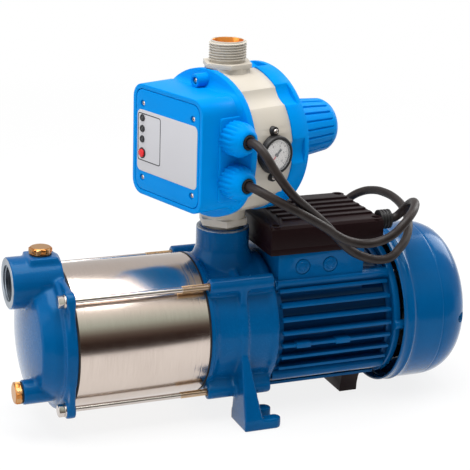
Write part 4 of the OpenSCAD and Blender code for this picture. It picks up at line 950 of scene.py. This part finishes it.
face = {
    "plate": (91.2, 90.4, 9.4), "plateDeep": 2.5, "plateFrom": -2.6, "plateEdge": 0.5,
    "corners": (36.2, 33.5), "well": (3.3, 2.1), "wellEase": 0.3, "wellOver": 0.5,
    "screw": 2.3, "screwTurn": 30,
    "label": (86.6, 55.4, 5), "labelLift": 0.3, "labelDeep": 0.7, "labelFrom": -0.5, "labelEdge": 0.15,
    "lineBox": (33.6, 43, 2.5, 5), "lineMiddle": (-25.6, 3.5), "lineWidth": 0.85, "lineDeep": 0.14,
    "row": -35.6, "lightsAt": (20.7, 11, 1.6), "buttonAt": -11, "lightSides": 40, "buttonSides": 56,
    "lightRing": [(2.0, 0), (2.0, 0.9), (2.3, 1.15), (2.9, 1.15), (3.2, 0.8), (3.2, 0)],
    "lens": [(0, 0), (2.05, 0), (2.05, 0.6), (1.5, 1.0), (0.8, 1.2), (0, 1.25)],
    "buttonRing": [(3.7, 0), (3.7, 0.7), (3.9, 0.95), (4.5, 0.95), (4.8, 0.6), (4.8, 0)],
    "button": [(0, -4), (3.6, -4), (3.6, 1.5), (3.4, 1.9), (2.8, 2.15), (1.5, 2.3), (0, 2.35)],
}


def makeFace():
    size = face

    def at(x, y, z=0.0):
        return controllerFrame @ frontSide @ shift(x, y, housing["front"] + z)
    plate = roundedPlate("facePlate", size["plate"], size["plateDeep"],
                         at(0, housing["lift"], size["plateFrom"]), size["plateEdge"])
    corners = [(x * size["corners"][0], y * size["corners"][1]) for x in (-1, 1) for y in (-1, 1)]
    radius, deep = size["well"]
    over = size["wellOver"]
    for x, y in corners:
        profile = [(0, -deep), (radius - size["wellEase"], -deep), (radius, over), (0, over)]
        combine(plate, turnPiece("well", profile, at(x, y), size["lightSides"]), "DIFFERENCE")
    present(smooth(plate, 40), "controllerBlue", "face_plate")
    present(roundedPlate("labelPanel", size["label"], size["labelDeep"],
                         at(0, size["labelLift"], size["labelFrom"]), size["labelEdge"]),
            "silverLabel", "label_panel")
    present(roundedPlate("labelLine", size["lineBox"], size["lineDeep"],
                         at(*size["lineMiddle"], size["lineDeep"]), line=size["lineWidth"]), "lineBlack")
    lights = [at(size["row"], height) for height in size["lightsAt"]]
    middle = at(size["row"], size["buttonAt"])
    rings = [turnPiece("lightRing", closed(size["lightRing"]), light, size["lightSides"]) for light in lights]
    rings.append(turnPiece("buttonRing", closed(size["buttonRing"]), middle, size["buttonSides"]))
    lenses = [turnPiece("lightLens", size["lens"], light, size["lightSides"]) for light in lights]
    present(joinPieces("lightRings", rings), "lineBlack")
    present(joinPieces("statusLights", lenses), "lightDark", "status_lights")
    present(turnPiece("restartButton", size["button"], middle, size["buttonSides"]),
            "buttonRed", "restart_button", body="button")
    screws = [placeScrew("faceScrew", at(x, y, -deep), size["screw"], size["screwTurn"] + x)
              for x, y in corners]
    present(joinPieces("faceScrews", screws), "brightSteel", "face_screws")
    height, radius = housing["lugScrew"]
    lug = controllerFrame @ frontSide @ shift(0, housing["lugHeight"], height)
    present(placeScrew("lugScrew", lug, radius), "brightSteel")


makeFrontHousing()
makeFace()
print("stage: controller's front")

bodyThread = {
    "cut": 319.8, "edge": 0.7, "steps": 96,
    "crest": 16.6, "root": 15.0, "pitch": 2.31, "turns": 7.2, "start": 320.1,
    "tube": [(15.0, 318.5), (15.0, 338.4), (14.8, 338.95), (14.1, 338.95), (13.9, 338.7), (13.9, 318.5)],
    "liner": [(13.95, 338.5), (13.5, 338.6), (13.3, 338.2), (13.3, 290), (13.95, 290)],
}


def makeControllerBody():
    size = bodyThread
    body = copyNode("controller_body", "controllerBody")
    edit(body)
    bpy.ops.mesh.bisect(plane_co=spot(0, 0, size["cut"]), plane_no=(0, 0, 1), use_fill=True,
                        clear_outer=True, threshold=0.000001)
    leaveEdit()
    easeEdges(body, size["edge"])
    tube = turnPiece("threadTube", closed(size["tube"]), pumpFrame)
    thread = threadPiece("outletThread", pumpFrame, size, size["steps"])
    present(joinPieces("controllerBody", [body, tube, thread]), "controllerGrey", "controller_body")
    present(turnPiece("outletLiner", closed(size["liner"]), pumpFrame), "orangeBrass")


makeControllerBody()


def flute(piece, size):
    # moves the lines of points that stand on a flute, between two heights
    count, low, high, width, share = size["flutes"]

    def onFlute(vertex):
        x, y, z = vertex.co / mm
        turn = math.atan2(y, x) / math.tau * count
        return low < z < high and abs(turn - round(turn)) < width
    pick(piece, "VERT", onFlute)
    grow(share, share, 1)
    leaveEdit()


# flutes: count, from, to, half width as a share of a step, and what their radius is scaled by
knob = {
    "base": [(22, 52.5), (29.2, 52.5), (29.9, 53.2)], "from": 52.4, "wide": 30, "taper": 6 / 65,
    "heights": [3, 4.5, 7, 8.5, 12, 18, 24, 30, 36, 42, 48, 54, 55, 56, 58.5],
    "end": [(23.9615, 112.4), (22.4, 115), (20.6, 116.6), (18, 117.4), (17, 117.4), (16.4, 116.7),
            (0, 116.5)],
    "sides": 132, "flutes": (22, 59.9, 107.9, 0.1, 1 - 1.9 / 27),
}


def makeKnob():
    size = knob
    slope = [(size["wide"] - size["taper"] * height, size["from"] + height) for height in size["heights"]]
    piece = turnPiece("adjusterKnob", size["base"] + slope + size["end"], plain, size["sides"], 30)
    flute(piece, size)
    smooth(settle(piece, controllerFrame @ alongX), 24)
    present(piece, "controllerBlue", "adjuster_knob", body="knob")


makeKnob()

gauge = {
    "middle": 3, "start": 225, "sweep": 270,
    "numbers": (0, 2, 4, 6, 8, 10), "numberSize": 2.7, "numberThick": 0.04, "numberAt": 8.4,
    "numberHeight": 67.25,
    "marks": 50, "markOuter": 12.4, "markHeight": 67.23, "markShort": (1.1, 0.2, 0.1),
    "markLong": (2.1, 0.36, 0.1),
    "case": [(0, 57), (17.0, 57), (17.0, 68.3), (16.7, 69.3), (16.0, 69.95), (15.0, 70.1), (14.2, 69.8),
             (13.8, 69.0), (13.6, 68.0), (13.5, 66.6), (13.0, 66.45), (0, 66.45)],
    "ear": [(0, 57), (4.2, 57), (4.2, 64.2), (3.9, 64.7), (3.3, 64.85), (0, 64.85)], "earAt": 20.2,
    "earSides": 48, "neck": (6.4, 7, 7.2), "neckAt": (17.5, 60.9), "neckEdge": 0.5, "screw": (64.9, 2.3),
    "dial": [(0, 66.4), (13.5, 66.4), (13.5, 67.1), (13.4, 67.2), (0, 67.2)],
    "pointer": ((9.6, 1.5, 0.35), (5.2, 0, 68.05)), "pointerEnds": (1.0, 0.25),
    "tail": ((6.4, 2.9, 0.45), (-3.4, 0, 68.0)), "tailEnds": (0.8, 0.5),
    "hub": [(0, 67.4), (1.7, 67.4), (1.7, 68.4), (1.3, 68.75), (0, 68.8)], "hubSides": 36,
}


def makeGauge():
    size = gauge
    near = controllerFrame @ shift(size["middle"], 0, 0) @ nearSide
    neckAt, neckHeight = size["neckAt"]
    screwHeight, screwRadius = size["screw"]
    ears = [near @ shift(0, side * size["earAt"], 0) for side in (-1, 1)]
    parts = [turnPiece("gaugeCase", size["case"], near)]
    for side, ear in zip((-1, 1), ears):
        parts.append(turnPiece("gaugeEar", size["ear"], ear, size["earSides"]))
        neck = blockPiece("gaugeNeck", size["neck"], (0, side * neckAt, neckHeight), near)
        parts.append(modify(neck, "BEVEL", width=size["neckEdge"] * mm, segments=2))
    present(joinPieces("gaugeCase", parts), "darkPlastic", "gauge_case")
    present(turnPiece("gaugeDial", size["dial"], near), "dialPlate", "gauge_dial")
    marks = []
    for count in range(size["marks"] + 1):
        bar = size["markShort"] if count % 5 else size["markLong"]
        marks.append(blockPiece("mark", bar, (size["markOuter"] - bar[0] / 2, 0, size["markHeight"]),
                                near @ turned(size["start"] - size["sweep"] * count / size["marks"])))
    for number in size["numbers"]:
        turn = math.radians(size["start"] - size["sweep"] * number / max(size["numbers"]))
        place = shift(size["numberAt"] * math.cos(turn), size["numberAt"] * math.sin(turn),
                      size["numberHeight"])
        marks.append(numeral("number", str(number), size["numberSize"], size["numberThick"], near @ place))
    present(joinPieces("dialMarks", marks), "lineBlack")
    zero = near @ turned(size["start"])
    pointer = blockPiece("needlePointer", *size["pointer"], zero, size["pointerEnds"])
    present(pointer, "needleRed", body="needle")
    tail = blockPiece("needleTail", *size["tail"], zero, size["tailEnds"])
    hub = turnPiece("needleHub", size["hub"], near, size["hubSides"])
    present(joinPieces("gaugeNeedle", [tail, hub]), "needleBlack", "gauge_needle", body="needle")
    screws = [placeScrew("gaugeScrew", ear @ shift(0, 0, screwHeight), screwRadius) for ear in ears]
    present(joinPieces("gaugeScrews", screws), "brightSteel", "gauge_screws")


makeGauge()

gland = {
    "middle": -33, "heights": (17, -21), "sides": 100, "flutes": (20, 49, 66, 0.3, 1 + 1.1 / 14),
    "nut": [(0, 46), (13.9, 46), (14.0, 50), (14.0, 58.5), (14.0, 61.5), (13.9, 63.5), (13.5, 65.6),
            (12.9, 67.6), (12.1, 69.4), (11.1, 71.2), (10.0, 72.6), (8.9, 73.5), (7.9, 73.9), (7.2, 73.9),
            (6.7, 73.5), (6.5, 72.4), (0, 72)],
    "seal": [(3.9, 70), (6.4, 70), (6.4, 73.4), (6.1, 74.2), (5.4, 74.6), (4.6, 74.5), (4.2, 74.0),
             (3.9, 73)],
    "sealSides": 56,
}


def makeGlands():
    size = gland
    nut = turnPiece("glandNut", size["nut"], plain, size["sides"], 28)
    flute(nut, size)
    seal = turnPiece("glandSeal", closed(size["seal"]), plain, size["sealSides"])
    places = [controllerFrame @ nearSide @ shift(size["middle"], height, 0) for height in size["heights"]]
    present(joinPieces("cableGlands", twins(nut, places)), "controllerBlue", "cable_glands")
    present(joinPieces("glandSeals", twins(seal, places)), "gasketRubber")


makeGlands()
print("stage: controller's body, knob, gauge and glands")

# every other CAD node that shows gets a merged copy with eased edges: its finish and its edge
easedNodes = {
    "pump_shell": ("polishedStainless", 0.2),
    "motor_housing": ("housingEnamel", 0.7),
    "rear_shield": ("housingEnamel", 0.6),
    "motor_screws": ("brightSteel", 0.3),
    "fan_cover_screws": ("brightSteel", 0.3),
    "motor_foot": ("boxBlack", 0.8),
    "terminal_box": ("boxBlack", 0.8),
    "terminal_box_lid": ("boxBlack", 0.8),
    "lid_screws": ("brightSteel", 0.25),
    "motor_gland": ("darkPlastic", 0.3),
    "rear_cover": ("controllerBlue", 0.8),
    "rear_cover_screws": ("brightSteel", 0.3),
}
knockOut = {
    "stations": (59.5, 86.4), "face": -48, "height": 139.3, "sides": 48,
    "ring": [(3.4, -0.3), (3.4, 0.1), (3.7, 0.4), (4.3, 0.4), (4.6, 0.1), (4.6, -0.3)],
}


def makeEased(node, material, edge):
    first, *rest = node.split("_")
    name = first + "".join(word.title() for word in rest)
    piece = easeEdges(copyNode(node, name), edge)
    if node == "motor_housing":
        places = [frameAt(station, knockOut["face"], knockOut["height"]) @ nearSide
                  for station in knockOut["stations"]]
        piece = joinPieces(name, [piece, *(turnPiece("knockOut", closed(knockOut["ring"]), place,
                                                     knockOut["sides"]) for place in places)])
    present(piece, material, node)


for node, (material, edge) in easedNodes.items():
    makeEased(node, material, edge)
print("stage: eased pieces")

casting = {
    "coverCell": 1.1, "bracketCell": 1.3, "relax": 0.5, "rounds": 8, "keep": 0.5,
    "web": (22.0, 65.0, 5.6), "webPlace": (66.0, 0, -157.5), "webEnds": (1.0, 0.13),
    "nose": [(60, -28), (60, -32.2), (63.0, -32.2), (63.6, -31.9), (63.85, -31.3), (63.85, -28.6),
             (63.2, -27.8)],
    "noseSides": 180,
}


def castSkin(node, name, cell, added=()):
    # a sand casting has no sharp edge: the copy is remade in small cells and relaxed
    piece = joinPieces(name, [copyNode(node, name), *added])
    modify(piece, "REMESH", mode="VOXEL", voxel_size=cell * mm, use_smooth_shade=True)
    modify(piece, "SMOOTH", factor=casting["relax"], iterations=casting["rounds"])
    modify(piece, "DECIMATE", ratio=casting["keep"])
    takeHold(piece)
    bpy.ops.object.shade_smooth()
    return piece


def makeCastings():
    size = casting
    webs = [blockPiece("web", size["web"], size["webPlace"], shaftLine @ turned(turn), size["webEnds"])
            for turn in (45, 135, 225, 315)]
    cover = castSkin("suction_cover", "suctionCover", size["coverCell"], webs)
    middle = spot(0, 0, suctionMouth["height"])
    end = spot(suctionMouth["boreEnd"], 0, 0).x

    def inBore(vertex):
        x, y, z = vertex.co
        return x < end and math.hypot(y, z - middle.z) < suctionMouth["boreRadius"] * mm
    pick(cover, "VERT", inBore)
    grow(1, suctionMouth["boreGrow"], suctionMouth["boreGrow"], middle)
    leaveEdit()
    present(cover, "castEnamel", "suction_cover")
    bracket = castSkin("discharge_bracket", "dischargeBracket", size["bracketCell"])
    nose = turnPiece("noseRing", closed(size["nose"]), shaftLine, size["noseSides"])
    present(joinPieces("dischargeBracket", [bracket, nose]), "castEnamel", "discharge_bracket")


makeCastings()
bpy.data.objects.remove(screwTemplate)
print("stage: castings")

# what stays as the CAD made it, inside the pump, and its finish
innerFinishes = {
    "polishedStainless": ["stage_casings"], "brass": ["impellers"], "lineBlack": ["seal_rotating_ring"],
    "gasketRubber": ["water_slinger"], "copper": ["stator_windings"], "boardGreen": ["circuit_board"],
    "gaugeGlass": ["gauge_lens"], "lamination": ["stator_core", "rotor_core"],
    "darkPlastic": ["cooling_fan", "pressure_piston"],
    "brightSteel": ["rotor_shaft", "impeller_nut", "bearing_outer_rings", "bearing_inner_rings",
                    "bearing_balls", "pressure_spring"],
    "ceramic": ["seal_fixed_ring", "run_capacitor", "terminal_block", "flow_valve"],
}
for material, inside in innerFinishes.items():
    for node in inside:
        dress(nodes[node], material)
print("stage: inner finishes")

# floor, panel and lamps
studio = {
    "floorSize": 9.0, "floorShade": 0.9, "floorDarker": 0.88, "floorGlow": 0.84, "floorFar": 1.0,
    "worldLight": 0.38, "mirrorDim": 0.34,
    # name, place, aim, size and watts
    "lamps": [
        ("topSoftbox", (-150, -150, 1500), (0, 0, 150), (1500, 1100), 28),
        ("leftSoftbox", (-1500, 0, 700), (-100, 0, 120), (1300, 1200), 8),
        ("rightSoftbox", (1300, 500, 900), (150, 0, 120), (700, 1100), 9),
    ],
}
# a panel that only gloss shows, its shades from the floor up: it stands dark in front
panel = {
    "name": "darkPanel", "place": (120, -385, 320), "size": (1500, 640),
    "shades": [(0.0, (40, 24, 20)), (0.16, (42, 26, 21)), (0.28, (92, 76, 68)), (0.37, (154, 156, 146)),
               (0.45, (192, 205, 195)), (0.62, (222, 229, 221)), (0.8, (250, 248, 240)),
               (1.0, (254, 248, 240))],
}


def rays(start):
    # 1 where the camera sees a thing straight, mirrored or through glass, and 1 where a mirror does
    straight, mirror, through = (start.node("LightPath", output="Is " + kind + " Ray")
                                 for kind in ("Camera", "Glossy", "Transmission"))
    return straight.math("MAXIMUM", straight.math("MAXIMUM", straight, mirror), through), mirror


def makeFloor():
    floor = newPiece("studioFloor", bpy.ops.mesh.primitive_plane_add, size=studio["floorSize"])
    start, place = startFinish("studioFloor")
    shades = [(studio[key],) * 3 + (1,) for key in ("floorShade", "floorDarker")]
    lit = start.node("BsdfDiffuse", {"Color": (0.5 + 0.1 * place.grain(3.0)).mix(*shades)})
    glow = start.node("Emission", {"Color": white, "Strength": 1.0})
    away = start.node("VectorMath", {0: place}, 1, operation="LENGTH")
    share = studio["floorGlow"] + (1 - studio["floorGlow"]) * away.above(studio["floorFar"], 1.0)
    seen = rays(start)[0]
    floor.data.materials.append(surface(start, {0: seen * share, 1: lit, 2: glow}, "MixShader"))


def makePanel():
    width, height = (side * mm for side in panel["size"])
    piece = newPiece(panel["name"], bpy.ops.mesh.primitive_plane_add, size=1, rotation=(math.pi / 2, 0, 0))
    piece.scale = (width, height, 1)
    settle(settle(piece), frameAt(*panel["place"]))
    start, place = startFinish(panel["name"])
    shade = start.node("ValToRGB", {"Fac": place.axis("Z") / height})
    stops = shade.socket.node.color_ramp.elements
    for _ in panel["shades"][2:]:
        stops.new(0.5)
    for stop, (position, tone) in zip(stops, panel["shades"]):
        stop.position = position
        stop.color = colour(*tone)
    piece.data.materials.append(surface(start, {"Color": shade, "Strength": 1.0}, "Emission"))
    for ray in ("camera", "diffuse", "shadow", "transmission"):
        setattr(piece, "visible_" + ray, False)


def makeWorld():
    world = bpy.data.worlds.new("studioWorld")
    bpy.context.scene.world = world
    world.use_nodes = True
    world.node_tree.nodes.clear()
    start = Wire(world.node_tree)
    seen, mirror = rays(start)
    strength = studio["worldLight"] + (1 - studio["worldLight"]) * seen - studio["mirrorDim"] * mirror
    start.node("OutputWorld", {"Surface": start.node("Background", {"Color": white, "Strength": strength})})


def makeLamps():
    for name, place, aim, size, watts in studio["lamps"]:
        data = bpy.data.lights.new(name, "AREA")
        data.shape = "RECTANGLE"
        data.size, data.size_y = (side * mm for side in size)
        data.energy = watts
        holder = link(bpy.data.objects.new(name, data))
        holder.location = spot(*place)
        holder.rotation_euler = (spot(*place) - spot(*aim)).to_track_quat("Z", "Y").to_euler()


makeFloor()
makePanel()
makeWorld()
makeLamps()
bpy.context.scene.view_settings.view_transform = "Standard"
print("stage: studio")
